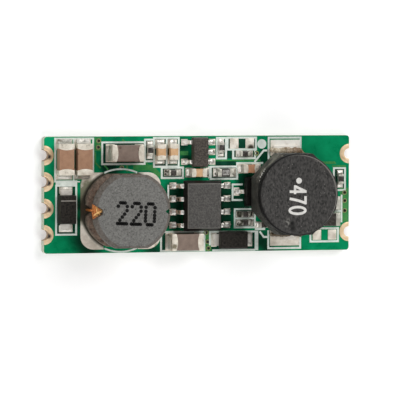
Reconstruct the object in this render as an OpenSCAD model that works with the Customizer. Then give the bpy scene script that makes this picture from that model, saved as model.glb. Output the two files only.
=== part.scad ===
// Drop-in LED driver module: a bare circuit board with plated half-holes along
// its two short edges, two power inductors and the small parts of a step-down
// driver. It lies on its underside, parts up. Sizes in millimetres.

/* [Board] */
// Length along X
board_length = 30.7; // [30.4:0.1:34]
// Width along Y
board_width = 11.2; // [11.1:0.1:13]
// Thickness of the laminate
board_thickness = 1.0; // [0.6:0.1:1.6]
// Corner radius of the outline
board_corner = 0.3; // [0.1:0.05:0.8]

/* [Half-hole terminals] */
// Spacing of the terminals along an edge
terminal_pitch = 2.54; // [2:0.01:2.6]
// Radius of the half-round notch
terminal_radius = 0.5; // [0.3:0.05:0.6]
// Outer radius of the plated ring round a notch
terminal_land_radius = 0.95; // [0.75:0.05:1.1]
// Thickness of the plating
plating = 0.06; // [0.04:0.01:0.1]

/* [Plated holes] */
// Radius of the open hole
via_radius = 0.14; // [0.1:0.01:0.16]
// Radius of the ring on the top face
via_ring_radius = 0.24; // [0.22:0.01:0.26]
// Wall of the plated barrel
via_wall = 0.05; // [0.03:0.01:0.06]

/* [Lands and solder] */
// Thickness of a tinned land
land_thickness = 0.05; // [0.03:0.01:0.1]
// Height of a solder wedge as a share of the end it climbs
solder_climb = 0.55; // [0.3:0.05:0.8]

/* [Chip capacitors] */
// Length of the two input capacitors
input_cap_length = 3.0; // [2.8:0.05:3.1]
// Width of the two input capacitors
input_cap_width = 1.56; // [1.4:0.02:1.6]
// Height of the two input capacitors
input_cap_height = 1.15; // [0.8:0.05:1.6]
// Length of the filter and supply capacitors
filter_cap_length = 3.15; // [2.9:0.05:3.2]
// Width of the filter and supply capacitors
filter_cap_width = 1.66; // [1.5:0.02:1.7]
// Height of the filter and supply capacitors
filter_cap_height = 1.4; // [0.8:0.05:1.6]
// Length of a small capacitor
small_cap_length = 1.5; // [1.4:0.02:1.6]
// Width of a small capacitor
small_cap_width = 0.86; // [0.7:0.02:0.9]
// Height of a small capacitor
small_cap_height = 0.8; // [0.5:0.05:0.9]
// Wall of the metal end cap
cap_end_wall = 0.04; // [0.03:0.01:0.06]

/* [Chip resistors] */
// Length of a sense resistor
sense_length = 2.0; // [1.8:0.05:2.1]
// Width of a sense resistor
sense_width = 1.25; // [1:0.05:1.35]
// Length of the printed middle-size resistor
mid_res_length = 1.6; // [1.4:0.02:1.64]
// Width of the printed middle-size resistor
mid_res_width = 0.76; // [0.7:0.02:0.86]
// Length of a very small resistor
tiny_res_length = 0.96; // [0.9:0.02:1.06]
// Width of a very small resistor
tiny_res_width = 0.54; // [0.46:0.02:0.58]
// Height of the sense and middle-size resistors
res_height = 0.5; // [0.4:0.02:0.6]
// Height of a very small resistor
tiny_res_height = 0.36; // [0.3:0.02:0.4]
// Thickness of the metal end strips
res_end_wall = 0.04; // [0.03:0.01:0.06]
// Thickness of the black glass coat
coat_thickness = 0.05; // [0.04:0.01:0.08]

/* [Driver chip] */
// Width of the body between its two lead rows
driver_width = 3.85; // [3.7:0.05:3.9]
// Length of the body along its lead rows
driver_length = 4.9; // [4.8:0.05:4.95]
// Height of the body above its foot level
driver_height = 1.5; // [1.35:0.05:1.75]
// Distance over the lead tips
driver_span = 5.85; // [5.75:0.05:5.95]

/* [Regulator and transistor] */
// Body width of the regulator
regulator_width = 1.6; // [1.5:0.05:1.7]
// Distance over the regulator's lead tips
regulator_span = 2.8; // [2.6:0.05:3]
// Body width of the transistor
transistor_width = 1.3; // [1.2:0.05:1.4]
// Distance over the transistor's lead tips
transistor_span = 2.7; // [2.5:0.05:2.75]
// Body length of both along the lead rows
small_case_length = 2.86; // [2.7:0.02:2.9]
// Body height of both
small_case_height = 1.1; // [0.9:0.05:1.2]

/* [Diodes] */
// Length of a diode body
diode_length = 2.8; // [2.6:0.05:2.9]
// Width of a diode body
diode_width = 1.7; // [1.5:0.05:1.75]
// Height of a diode body
diode_height = 1.05; // [0.9:0.05:1.3]
// Distance over the flat lead tips
diode_span = 3.8; // [3.5:0.05:3.9]

/* [Filter inductor] */
// Diameter of the two flanges
drum_diameter = 7.65; // [7.4:0.05:7.8]
// Distance over the two flats of a flange
drum_flats = 6.98; // [6.6:0.02:7.1]
// Height of the top face above the board
drum_height = 4.5; // [3.7:0.1:5.2]
// Thickness of the bottom flange
drum_base = 0.8; // [0.6:0.05:1]
// Thickness of the top flange
drum_top = 1.1; // [0.8:0.05:1.3]
// Chamfer on the round upper edge of the top flange
drum_chamfer = 0.36; // [0.1:0.02:0.4]
// Diameter of the winding wire
wire_diameter = 0.24; // [0.2:0.02:0.36]

/* [Output inductor] */
// Diameter of the round top
disc_diameter = 7.95; // [7.4:0.05:8.1]
// Thickness of the round top
disc_thickness = 0.8; // [0.5:0.05:1]
// Height of the round top above the board
disc_height = 4.65; // [4.2:0.05:5]
// Bevel on the upper edge of the round top
disc_bevel = 0.2; // [0.1:0.02:0.3]
// Distance over the flats of the eight-sided shield
shield_flats = 7.85; // [7.2:0.05:8]
// Height of the shield's lower edge above the board
shield_lift = 1.65; // [1.5:0.05:2]
// Bore of the shield
shield_bore = 6.0; // [5.6:0.05:6.4]

/* [Hidden] */
$fn = 64;
fit_gap = 0.01;
deep = 10;
sides = [-1, 1];

// Rows of half-holes, counted in pitches from the middle of the edge
input_rows = [-1.5, -0.5, 0.5, 1.5];
output_rows = [-1.5, 1.5];

// The parts fill the board, so their places along it, drawn for 30.7 mm, spread and close up with its length
function along(x) = x / 30.7 * board_length;

// Places of the parts on the board, each the centre of its footprint
input_cap_a_at = [along(-13.38), 3.44];
input_cap_b_at = [along(-11.55), 3.44];
filter_cap_at = [along(-7.37), 4.0];
supply_cap_at = [along(-1.4), -4.6];
small_cap_a_at = [along(-3.85), 4.1];
small_cap_b_at = [along(-2.6), 4.1];
small_cap_c_at = [along(-0.09), 2.07];
small_cap_d_at = [along(5.15), 2.42];
sense_a_at = [along(13.28), -1.03];
sense_b_at = [along(13.28), -2.6];
mid_res_at = [along(2.65), 2.05];
tiny_a_at = [along(-4.87), 4.26];
tiny_b_at = [along(-2.57), 2.08];
tiny_c_at = [along(2.28), 4.47];
tiny_d_at = [along(4.65), 3.87];
tiny_e_at = [along(4.73), -2.02];
tiny_f_at = [along(4.73), -2.83];
tiny_g_at = [along(6.6), -3.05];
tiny_h_at = [along(14.42), 1.35];
driver_at = [along(0.19), -1.1];
regulator_at = [0, 4.06];
transistor_at = [along(5.18), 0.2];
input_diode_at = [along(-13.2), -1.37];
output_diode_at = [along(3.4), -4.46];
drum_at = [along(-7.74), -1.45];
drum_lands_at = [along(-7.75), -1.56];
disc_at = [along(8.8), 0.04];
via_places = [[along(-9.96), 5.18], [along(-9.99), 4.57], [along(-7.65), 2.57], [along(0.83), -3.75],
    [along(0.98), -4.65], [along(1.06), -5.28], [along(5.89), 3.89], [along(14.9), 0],
    [along(14.92), -0.79], [along(14.92), -1.76]];
spare_lands_at = [[along(3.62), 4.86], [along(5.2), 4.86], [along(12.08), -4.1], [along(13.65), -4.1]];

// Edge rounding of the capacitors and the bulge of their dipped ends
cap_round = 0.12;
small_round = 0.08;
dip_bulge = 1.3;

// Footprints as [length, width, height, end band]
input_band = 0.6;
filter_band = 0.57;
small_band = 0.44;
sense_band = 0.4;
mid_band = 0.38;
tiny_band = 0.22;
input_cap = [input_cap_length, input_cap_width, input_cap_height, input_band];
filter_cap = [filter_cap_length, filter_cap_width, filter_cap_height, filter_band];
small_cap = [small_cap_length, small_cap_width, small_cap_height, small_band];
sense_res = [sense_length, sense_width, res_height, sense_band];
mid_res = [mid_res_length, mid_res_width, res_height, mid_band];
tiny_res = [tiny_res_length, tiny_res_width, tiny_res_height, tiny_band];

// Bare rim between a resistor's coat and its long sides
coat_margin = 0.01;

// How far a land runs out past the end of its part
input_toe = 0.45;
filter_toe = 0.3;
small_toe = 0.44;
sense_toe = 0.2;
mid_toe = 0.36;
tiny_toe = 0.38;
driver_toe = 0.14;
regulator_toe = 0.32;
transistor_toe = 0.24;
input_diode_toe = 0.27;
output_diode_toe = 0.18;
land_margin = 0.03;
driver_land = 0.62;
regulator_land = 0.6;
transistor_land = 0.46;
transistor_wide_land = 0.8;
diode_land = 1.35;
wedge_tip = 0.12;
wedge_sag = [0.4, 0.36];
spare_land = [0.88, 1.0];

// Leads: thickness, width, foot and the height of the shoulder
driver_lead = [0.2, 0.42, 0.5, 0.8];
driver_pitch = 1.27;
driver_stand = 0.1;
case_lead = [0.14, 0.4, 0.3, 0.55];
case_pitch = 0.95;
case_stand = 0.06;
lead_inset = 0.2;
shoulder_share = 0.12;
bend_share = 0.4;
lead_slope = 76;
driver_draft = 0.31;
case_draft = 0.09;
diode_draft = 0.08;
diode_parting = diode_height * 0.4;
diode_lead = [0.18, 1.15, 0.35];
diode_strip = 1.0;

// Filter inductor
electrode = 0.1;
drum_bottom = land_thickness + electrode;
gap_bottom = drum_bottom + drum_base;
gap_top = drum_height - drum_top;
post_radius = 1.75;
winding_radius = 3.2;
winding_height = gap_top - gap_bottom;
turns = floor(winding_height / wire_diameter);
turn_step = winding_height / turns;
wire_out = 3.4;
flat_chamfer = 0.24;
base_ends = 7.26;
notch_mouth = 0.82;
notch_root = 0.2;
notch_depth = 0.9;
small_notch_mouth = 0.34;
small_notch_depth = 0.55;
small_notch_root = 0.085;
base_notch_mouth = 0.69;
base_notch_depth = 0.65;
drum_land = [8.0, 7.4];
drum_land_corner = 1.3;
drum_land_gap = 3.4;
electrode_gap = 4.4;
electrode_inset = 0.35;
electrode_edge = 0.05;

// Output inductor
shield_top = disc_height - disc_thickness;
foot_radius = 3.0;
foot_flats = 4.5;
disc_strip = 0.2;
foot_bottom = land_thickness + disc_strip;
foot_top = 1.2;
core_radius = 1.9;
coil_radius = 2.75;
disc_terminal = [2.5, 2.4];
disc_terminal_out = 4.6;
disc_land = [3.0, 1.55];
disc_land_out = 5.15;

// Puts a part on the board: its own origin is the middle of its footprint
module on_board(at, angle = 0, lift = 0)
    translate([at[0], at[1], board_thickness + lift])
        rotate([0, 0, angle])
            children();

// Rectangle with round corners, lower left corner at the origin
module round_rect(a, b, r) {
    translate([r, 0])
        square([a - 2 * r, b]);
    translate([0, r])
        square([a, b - 2 * r]);
    for (x = [r, a - r], y = [r, b - r])
        translate([x, y])
            circle(r);
}

// Straight bar along X with a rounded cross-section, starting at x
module bar(x, length, width, height, r, lift = 0)
    translate([x, 0, lift])
        rotate([90, 0, 90])
            linear_extrude(length)
                translate([-width / 2, 0])
                    round_rect(width, height, r);

module at_terminals(side, rows)
    for (row = rows)
        translate([side * board_length / 2, row * terminal_pitch, 0])
            rotate([0, 0, side * 90])
                children();

// Board: the notches and the shallow seats of their plated rings are cut right through the edge
module terminal_cut() {
    translate([0, 0, -deep / 2])
        cylinder(r = terminal_radius + plating + fit_gap, h = deep);
    for (z = [-deep, board_thickness - plating])
        translate([0, 0, z])
            cylinder(r = terminal_land_radius + fit_gap, h = deep + (z < 0 ? plating : 0));
}

module circuit_board()
    color([0.05, 0.42, 0.27])
        difference() {
            linear_extrude(board_thickness)
                translate([-board_length / 2, -board_width / 2])
                    round_rect(board_length, board_width, board_corner);
            at_terminals(-1, input_rows)
                terminal_cut();
            at_terminals(1, output_rows)
                terminal_cut();
            for (at = via_places)
                translate([at[0], at[1], -deep / 2])
                    cylinder(r = via_radius + via_wall + fit_gap, h = deep);
        }

// Half a plated hole: a barrel with a ring at each face, cut along the board's edge
module half_terminal()
    rotate_extrude(angle = 180) {
        translate([terminal_radius, 0])
            square([plating, board_thickness]);
        for (z = [0, board_thickness - plating])
            translate([terminal_radius, z])
                square([terminal_land_radius - terminal_radius, plating]);
    }

module input_terminals()
    color([0.86, 0.72, 0.5])
        at_terminals(-1, input_rows)
            half_terminal();

module output_terminals()
    color([0.86, 0.72, 0.5])
        at_terminals(1, output_rows)
            half_terminal();

module via_barrels()
    color([0.62, 0.55, 0.3])
        for (at = via_places)
            translate([at[0], at[1], 0])
                rotate_extrude() {
                    translate([via_radius, 0])
                        square([via_wall, board_thickness]);
                    translate([via_radius, board_thickness])
                        square([via_ring_radius - via_radius, plating / 2]);
                }

// Lands
module chip_lands(size, toe)
    for (s = sides)
        translate([s * (size[0] / 2 + (toe - size[3]) / 2), 0, land_thickness / 2])
            cube([toe + size[3], size[1] + 2 * land_margin, land_thickness], center = true);

module lead_land(tip, foot, toe, width)
    translate([tip - foot - land_margin, -width / 2, 0])
        cube([foot + toe + land_margin, width, land_thickness]);

module driver_sites()
    for (s = [0, 180], i = [-1.5:1.5])
        rotate([0, 0, s])
            translate([0, i * driver_pitch, 0])
                children();

module regulator_sites() {
    for (i = [-1, 1])
        translate([0, i * case_pitch, 0])
            rotate([0, 0, 180])
                children();
    for (i = [-1:1])
        translate([0, i * case_pitch, 0])
            children();
}

module transistor_pair()
    for (i = [-1, 1])
        translate([0, i * case_pitch, 0])
            children();

module transistor_sites() {
    rotate([0, 0, 180])
        children();
    transistor_pair()
        children();
}

module diode_sites()
    for (s = [0, 180])
        rotate([0, 0, s])
            children();

module drum_lands()
    linear_extrude(land_thickness)
        difference() {
            translate([-drum_land[0] / 2, -drum_land[1] / 2])
                round_rect(drum_land[0], drum_land[1], drum_land_corner);
            square([drum_land_gap, deep], center = true);
        }

module solder_lands()
    color([0.8, 0.78, 0.74]) {
        for (at = [input_cap_a_at, input_cap_b_at])
            on_board(at, 90)
                chip_lands(input_cap, input_toe);
        for (at = [filter_cap_at, supply_cap_at])
            on_board(at)
                chip_lands(filter_cap, filter_toe);
        for (at = [small_cap_a_at, small_cap_b_at])
            on_board(at, 90)
                chip_lands(small_cap, small_toe);
        for (at = [small_cap_c_at, small_cap_d_at])
            on_board(at)
                chip_lands(small_cap, small_toe);
        for (at = [sense_a_at, sense_b_at])
            on_board(at)
                chip_lands(sense_res, sense_toe);
        on_board(mid_res_at)
            chip_lands(mid_res, mid_toe);
        for (at = [tiny_a_at, tiny_c_at, tiny_h_at])
            on_board(at, 90)
                chip_lands(tiny_res, tiny_toe);
        for (at = [tiny_b_at, tiny_d_at, tiny_e_at, tiny_f_at, tiny_g_at])
            on_board(at)
                chip_lands(tiny_res, tiny_toe);
        on_board(driver_at)
            driver_sites()
                lead_land(driver_span / 2, driver_lead[2], driver_toe, driver_land);
        on_board(regulator_at)
            regulator_sites()
                lead_land(regulator_span / 2, case_lead[2], regulator_toe, regulator_land);
        on_board(transistor_at) {
            rotate([0, 0, 180])
                lead_land(transistor_span / 2, case_lead[2], transistor_toe, transistor_wide_land);
            transistor_pair()
                lead_land(transistor_span / 2, case_lead[2], transistor_toe, transistor_land);
        }
        on_board(input_diode_at, 90)
            diode_sites()
                lead_land(diode_span / 2, diode_lead[2], input_diode_toe, diode_land);
        on_board(output_diode_at)
            diode_sites()
                lead_land(diode_span / 2, diode_lead[2], output_diode_toe, diode_land);
        on_board(drum_lands_at)
            drum_lands();
        on_board(disc_at)
            for (s = sides)
                translate([0, s * (disc_land_out - disc_land[1] / 2), land_thickness / 2])
                    cube([disc_land[0], disc_land[1], land_thickness], center = true);
        for (at = spare_lands_at)
            on_board(at)
                translate([0, 0, land_thickness / 2])
                    cube([spare_land[0], spare_land[1], land_thickness], center = true);
    }

// Solder: a sagging wedge that climbs the end of a part from its land
module wedge(x, reach, climb, width)
    translate([x, width / 2, land_thickness])
        rotate([90, 0, 0])
            linear_extrude(width)
                polygon([[0, 0], [reach, 0], [reach, climb * wedge_tip],
                    [reach * wedge_sag[0], climb * wedge_sag[1]], [0, climb]]);

module chip_joints(size, toe, r = 0)
    for (s = [0, 180])
        rotate([0, 0, s])
            wedge(size[0] / 2, toe - land_margin, size[2] * solder_climb, size[1] - 2 * r);

module solder_joints()
    color([0.76, 0.75, 0.72]) {
        for (at = [input_cap_a_at, input_cap_b_at])
            on_board(at, 90)
                chip_joints(input_cap, input_toe, cap_round);
        for (at = [filter_cap_at, supply_cap_at])
            on_board(at)
                chip_joints(filter_cap, filter_toe, cap_round);
        for (at = [small_cap_a_at, small_cap_b_at])
            on_board(at, 90)
                chip_joints(small_cap, small_toe, small_round);
        for (at = [small_cap_c_at, small_cap_d_at])
            on_board(at)
                chip_joints(small_cap, small_toe, small_round);
        for (at = [sense_a_at, sense_b_at])
            on_board(at)
                chip_joints(sense_res, sense_toe);
        on_board(mid_res_at)
            chip_joints(mid_res, mid_toe);
        for (at = [tiny_a_at, tiny_c_at, tiny_h_at])
            on_board(at, 90)
                chip_joints(tiny_res, tiny_toe);
        for (at = [tiny_b_at, tiny_d_at, tiny_e_at, tiny_f_at, tiny_g_at])
            on_board(at)
                chip_joints(tiny_res, tiny_toe);
        on_board(driver_at)
            driver_sites()
                wedge(driver_span / 2, driver_toe - land_margin, driver_lead[0], driver_lead[1]);
        on_board(regulator_at)
            regulator_sites()
                wedge(regulator_span / 2, regulator_toe - land_margin, case_lead[0], case_lead[1]);
        on_board(transistor_at)
            transistor_sites()
                wedge(transistor_span / 2, transistor_toe - land_margin, case_lead[0], case_lead[1]);
        on_board(input_diode_at, 90)
            diode_sites()
                wedge(diode_span / 2, input_diode_toe - land_margin, diode_lead[0], diode_lead[1]);
        on_board(output_diode_at)
            diode_sites()
                wedge(diode_span / 2, output_diode_toe - land_margin, diode_lead[0], diode_lead[1]);
    }

// Chip capacitors: a ceramic block whose two ends are dipped in metal
module capacitor_block(size, r, grow = 0)
    bar(-size[0] / 2 + cap_end_wall, size[0] - 2 * cap_end_wall, size[1] - 2 * cap_end_wall + 2 * grow,
        size[2] - 2 * cap_end_wall + 2 * grow, r - cap_end_wall + grow, cap_end_wall - grow);

module capacitor_caps(size, r)
    for (s = [0, 180])
        rotate([0, 0, s])
            difference() {
                intersection() {
                    bar(size[0] / 2 - size[3], size[3], size[1], size[2], r);
                    translate([size[0] / 2 - size[3] + size[1] * dip_bulge, 0, -deep / 2])
                        cylinder(r = size[1] * dip_bulge, h = deep);
                }
                capacitor_block(size, r, fit_gap);
            }

module input_capacitor_a_body()
    color([0.6, 0.45, 0.35])
        on_board(input_cap_a_at, 90, land_thickness)
            capacitor_block(input_cap, cap_round);

module input_capacitor_a_ends()
    color([0.85, 0.83, 0.8])
        on_board(input_cap_a_at, 90, land_thickness)
            capacitor_caps(input_cap, cap_round);

module input_capacitor_b_body()
    color([0.6, 0.45, 0.35])
        on_board(input_cap_b_at, 90, land_thickness)
            capacitor_block(input_cap, cap_round);

module input_capacitor_b_ends()
    color([0.85, 0.83, 0.8])
        on_board(input_cap_b_at, 90, land_thickness)
            capacitor_caps(input_cap, cap_round);

module filter_capacitor_body()
    color([0.5, 0.44, 0.41])
        on_board(filter_cap_at, 0, land_thickness)
            capacitor_block(filter_cap, cap_round);

module filter_capacitor_ends()
    color([0.85, 0.83, 0.8])
        on_board(filter_cap_at, 0, land_thickness)
            capacitor_caps(filter_cap, cap_round);

module supply_capacitor_body()
    color([0.5, 0.44, 0.41])
        on_board(supply_cap_at, 0, land_thickness)
            capacitor_block(filter_cap, cap_round);

module supply_capacitor_ends()
    color([0.85, 0.83, 0.8])
        on_board(supply_cap_at, 0, land_thickness)
            capacitor_caps(filter_cap, cap_round);

module small_capacitor_a_body()
    color([0.82, 0.65, 0.47])
        on_board(small_cap_a_at, 90, land_thickness)
            capacitor_block(small_cap, small_round);

module small_capacitor_a_ends()
    color([0.85, 0.83, 0.8])
        on_board(small_cap_a_at, 90, land_thickness)
            capacitor_caps(small_cap, small_round);

module small_capacitor_b_body()
    color([0.82, 0.65, 0.47])
        on_board(small_cap_b_at, 90, land_thickness)
            capacitor_block(small_cap, small_round);

module small_capacitor_b_ends()
    color([0.85, 0.83, 0.8])
        on_board(small_cap_b_at, 90, land_thickness)
            capacitor_caps(small_cap, small_round);

module small_capacitor_c_body()
    color([0.82, 0.65, 0.47])
        on_board(small_cap_c_at, 0, land_thickness)
            capacitor_block(small_cap, small_round);

module small_capacitor_c_ends()
    color([0.85, 0.83, 0.8])
        on_board(small_cap_c_at, 0, land_thickness)
            capacitor_caps(small_cap, small_round);

module small_capacitor_d_body()
    color([0.7, 0.5, 0.37])
        on_board(small_cap_d_at, 0, land_thickness)
            capacitor_block(small_cap, small_round);

module small_capacitor_d_ends()
    color([0.85, 0.83, 0.8])
        on_board(small_cap_d_at, 0, land_thickness)
            capacitor_caps(small_cap, small_round);

// Chip resistors: a ceramic plate, a metal strip folded round each end, a black coat on top
module resistor_plate(size)
    translate([-size[0] / 2 + res_end_wall, -size[1] / 2, res_end_wall])
        cube([size[0] - 2 * res_end_wall, size[1], size[2] - 2 * res_end_wall]);

module resistor_strips(size)
    for (s = [0, 180])
        rotate([0, 0, s])
            translate([size[0] / 2, size[1] / 2, 0])
                rotate([90, 0, 0])
                    linear_extrude(size[1])
                        difference() {
                            translate([-size[3], 0])
                                square([size[3], size[2]]);
                            translate([-size[3] - res_end_wall, res_end_wall])
                                square([size[3], size[2] - 2 * res_end_wall]);
                        }

module resistor_coat(size)
    translate([-size[0] / 2 + size[3], -size[1] / 2 + coat_margin, size[2] - res_end_wall])
        cube([size[0] - 2 * size[3], size[1] - 2 * coat_margin, coat_thickness]);

module sense_resistor_a_body()
    color([0.9, 0.89, 0.86])
        on_board(sense_a_at, 0, land_thickness)
            resistor_plate(sense_res);

module sense_resistor_a_ends()
    color([0.85, 0.83, 0.8])
        on_board(sense_a_at, 0, land_thickness)
            resistor_strips(sense_res);

module sense_resistor_b_body()
    color([0.9, 0.89, 0.86])
        on_board(sense_b_at, 0, land_thickness)
            resistor_plate(sense_res);

module sense_resistor_b_ends()
    color([0.85, 0.83, 0.8])
        on_board(sense_b_at, 0, land_thickness)
            resistor_strips(sense_res);

module middle_resistor_body()
    color([0.9, 0.89, 0.86])
        on_board(mid_res_at, 0, land_thickness)
            resistor_plate(mid_res);

module middle_resistor_ends()
    color([0.85, 0.83, 0.8])
        on_board(mid_res_at, 0, land_thickness)
            resistor_strips(mid_res);

module tiny_plate(at, angle)
    color([0.9, 0.89, 0.86])
        on_board(at, angle, land_thickness)
            resistor_plate(tiny_res);

module tiny_resistor_a()
    tiny_plate(tiny_a_at, 90);

module tiny_resistor_b()
    tiny_plate(tiny_b_at, 0);

module tiny_resistor_c()
    tiny_plate(tiny_c_at, 90);

module tiny_resistor_d()
    tiny_plate(tiny_d_at, 0);

module tiny_resistor_e()
    tiny_plate(tiny_e_at, 0);

module tiny_resistor_f()
    tiny_plate(tiny_f_at, 0);

module tiny_resistor_g()
    tiny_plate(tiny_g_at, 0);

module tiny_resistor_h()
    tiny_plate(tiny_h_at, 90);

module at_tiny_resistors() {
    for (at = [tiny_a_at, tiny_c_at, tiny_h_at])
        on_board(at, 90, land_thickness)
            children();
    for (at = [tiny_b_at, tiny_d_at, tiny_e_at, tiny_f_at, tiny_g_at])
        on_board(at, 0, land_thickness)
            children();
}

module tiny_resistor_ends()
    color([0.85, 0.83, 0.8])
        at_tiny_resistors()
            resistor_strips(tiny_res);

module resistor_coats()
    color([0.12, 0.12, 0.12]) {
        at_tiny_resistors()
            resistor_coat(tiny_res);
        for (at = [sense_a_at, sense_b_at])
            on_board(at, 0, land_thickness)
                resistor_coat(sense_res);
        on_board(mid_res_at, 0, land_thickness)
            resistor_coat(mid_res);
    }

// Moulded cases: widest at the parting line, drawn in toward top and bottom
function case_outline(w, bottom, part, top, draft) = [
    [-w / 2 + draft, bottom],
    [w / 2 - draft, bottom],
    [w / 2, part],
    [w / 2 - draft, top],
    [-w / 2 + draft, top],
    [-w / 2, part]];

module moulded_case(w, l, bottom, part, top, draft)
    intersection() {
        translate([0, l / 2, 0])
            rotate([90, 0, 0])
                linear_extrude(l)
                    polygon(case_outline(w, bottom, part, top, draft));
        translate([-w / 2, 0, 0])
            rotate([90, 0, 90])
                linear_extrude(w)
                    polygon(case_outline(l, bottom, part, top, draft));
    }

// Part of a flat ring, for a bend of the strip: it turns through angle, starting straight up from the centre
module bend(inner, thick, angle)
    intersection() {
        difference() {
            circle(inner + thick);
            circle(inner);
        }
        polygon([[0, 0], [0, deep], [deep * tan(angle / 2), deep], [deep * sin(angle), deep * cos(angle)]]);
    }

// Gull-wing lead: straight out of the case, down a steep slope, flat on the land
module lead(wall, tip, shape) {
    t = shape[0];
    inner = t * bend_share;
    middle = inner + t / 2;
    knee = (tip - wall) * shoulder_share;
    high = shape[3] - t / 2 - inner;
    low = t + inner;
    slope = (high - low + 2 * middle * cos(lead_slope)) / sin(lead_slope);
    heel = knee + 2 * middle * sin(lead_slope) + slope * cos(lead_slope);
    translate([wall, shape[1] / 2, 0])
        rotate([90, 0, 0])
            linear_extrude(shape[1]) {
                translate([-lead_inset, high + inner])
                    square([lead_inset + knee, t]);
                translate([knee, high]) {
                    bend(inner, t, lead_slope);
                    rotate(-lead_slope)
                        translate([0, inner])
                            square([slope, t]);
                }
                translate([heel, low])
                    rotate(180)
                        bend(inner, t, lead_slope);
                translate([heel, 0])
                    square([tip - wall - heel, t]);
            }
}

module lead_pocket(wall, shape)
    translate([wall - lead_inset, -shape[1] / 2, shape[3] - shape[0] / 2])
        cube([lead_inset + wall, shape[1], shape[0]]);

module driver_body()
    color([0.16, 0.16, 0.17])
        on_board(driver_at, 0, land_thickness)
            difference() {
                moulded_case(driver_width, driver_length, driver_stand, driver_lead[3], driver_height,
                    driver_draft);
                driver_sites()
                    lead_pocket(driver_width / 2, driver_lead);
            }

module driver_leads()
    color([0.75, 0.75, 0.74])
        on_board(driver_at, 0, land_thickness)
            driver_sites()
                lead(driver_width / 2, driver_span / 2, driver_lead);

module regulator_body()
    color([0.15, 0.14, 0.13])
        on_board(regulator_at, 0, land_thickness)
            difference() {
                moulded_case(regulator_width, small_case_length, case_stand, case_lead[3], small_case_height,
                    case_draft);
                regulator_sites()
                    lead_pocket(regulator_width / 2, case_lead);
            }

module regulator_leads()
    color([0.75, 0.75, 0.74])
        on_board(regulator_at, 0, land_thickness)
            regulator_sites()
                lead(regulator_width / 2, regulator_span / 2, case_lead);

module transistor_body()
    color([0.1, 0.1, 0.1])
        on_board(transistor_at, 0, land_thickness)
            difference() {
                moulded_case(transistor_width, small_case_length, case_stand, case_lead[3], small_case_height,
                    case_draft);
                transistor_sites()
                    lead_pocket(transistor_width / 2, case_lead);
            }

module transistor_leads()
    color([0.75, 0.75, 0.74])
        on_board(transistor_at, 0, land_thickness)
            transistor_sites()
                lead(transistor_width / 2, transistor_span / 2, case_lead);

// Diodes: a moulded block with one flat lead let into its underside at each end
module diode_case()
    difference() {
        moulded_case(diode_length, diode_width, 0, diode_parting, diode_height, diode_draft);
        diode_sites()
            translate([diode_span / 2 - diode_strip, -diode_lead[1] / 2, -deep])
                cube([deep, diode_lead[1], deep + diode_lead[0]]);
    }

module diode_strips()
    diode_sites()
        translate([diode_span / 2 - diode_strip, -diode_lead[1] / 2, 0])
            cube([diode_strip, diode_lead[1], diode_lead[0]]);

module input_diode_body()
    color([0.12, 0.12, 0.12])
        on_board(input_diode_at, 90, land_thickness)
            diode_case();

module input_diode_leads()
    color([0.8, 0.79, 0.77])
        on_board(input_diode_at, 90, land_thickness)
            diode_strips();

module output_diode_body()
    color([0.12, 0.12, 0.12])
        on_board(output_diode_at, 0, land_thickness)
            diode_case();

module output_diode_leads()
    color([0.8, 0.79, 0.77])
        on_board(output_diode_at, 0, land_thickness)
            diode_strips();

// Filter inductor: a ferrite bobbin with two flats, notched where the wire ends pass
module base_outline(inset, flat_inset)
    intersection() {
        circle(drum_diameter / 2 - inset);
        square([base_ends - 2 * inset, drum_flats - 2 * flat_inset], center = true);
    }

module notch_outline(mouth, root, depth) {
    rim = drum_diameter / 2;
    polygon([[deep, mouth], [rim, mouth], [rim - depth, root],
        [rim - depth, -root], [rim, -mouth], [deep, -mouth]]);
}

module filter_inductor_core()
    color([0.42, 0.42, 0.42])
        on_board(drum_at) {
            translate([0, 0, drum_bottom])
                linear_extrude(drum_base)
                    difference() {
                        base_outline(0, 0);
                        for (s = [0, 180])
                            rotate([0, 0, s])
                                notch_outline(base_notch_mouth, notch_root, base_notch_depth);
                    }
            translate([0, 0, gap_bottom])
                cylinder(r = post_radius, h = gap_top - gap_bottom);
            difference() {
                translate([0, 0, gap_top])
                    intersection() {
                        rotate_extrude()
                            polygon([[0, 0], [drum_diameter / 2, 0],
                                [drum_diameter / 2, drum_top - drum_chamfer],
                                [drum_diameter / 2 - drum_chamfer, drum_top], [0, drum_top]]);
                        rotate([90, 0, 90])
                            translate([0, 0, -deep / 2])
                                linear_extrude(deep)
                                    polygon([[-drum_flats / 2, 0], [drum_flats / 2, 0],
                                        [drum_flats / 2, drum_top - flat_chamfer],
                                        [drum_flats / 2 - flat_chamfer, drum_top],
                                        [flat_chamfer - drum_flats / 2, drum_top],
                                        [-drum_flats / 2, drum_top - flat_chamfer]]);
                    }
                translate([0, 0, gap_top])
                    linear_extrude(deep) {
                        rotate([0, 0, 180])
                            notch_outline(notch_mouth, notch_root, notch_depth);
                        notch_outline(small_notch_mouth, small_notch_root, small_notch_depth);
                    }
            }
        }

// Winding: turns lie side by side between the flanges, one end runs out through each notch
module filter_inductor_winding()
    color([0.78, 0.45, 0.2])
        on_board(drum_at) {
            translate([0, 0, gap_bottom])
                rotate_extrude() {
                    translate([post_radius + fit_gap, 0])
                        square([winding_radius - turn_step / 2 - post_radius - fit_gap, winding_height]);
                    for (i = [0:turns - 1])
                        translate([winding_radius - turn_step / 2, (i + 0.5) * turn_step])
                            circle(turn_step / 2);
                }
            for (s = [0, 180])
                rotate([0, 0, s])
                    translate([wire_out, 0, drum_bottom])
                        cylinder(d = wire_diameter, h = drum_base + turn_step);
            for (s = [0, 180])
                rotate([0, 0, s])
                    translate([winding_radius - 2 * wire_diameter, 0, gap_bottom + turn_step])
                        rotate([0, 90, 0])
                            cylinder(d = wire_diameter, h = wire_out - winding_radius + 2 * wire_diameter);
        }

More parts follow.
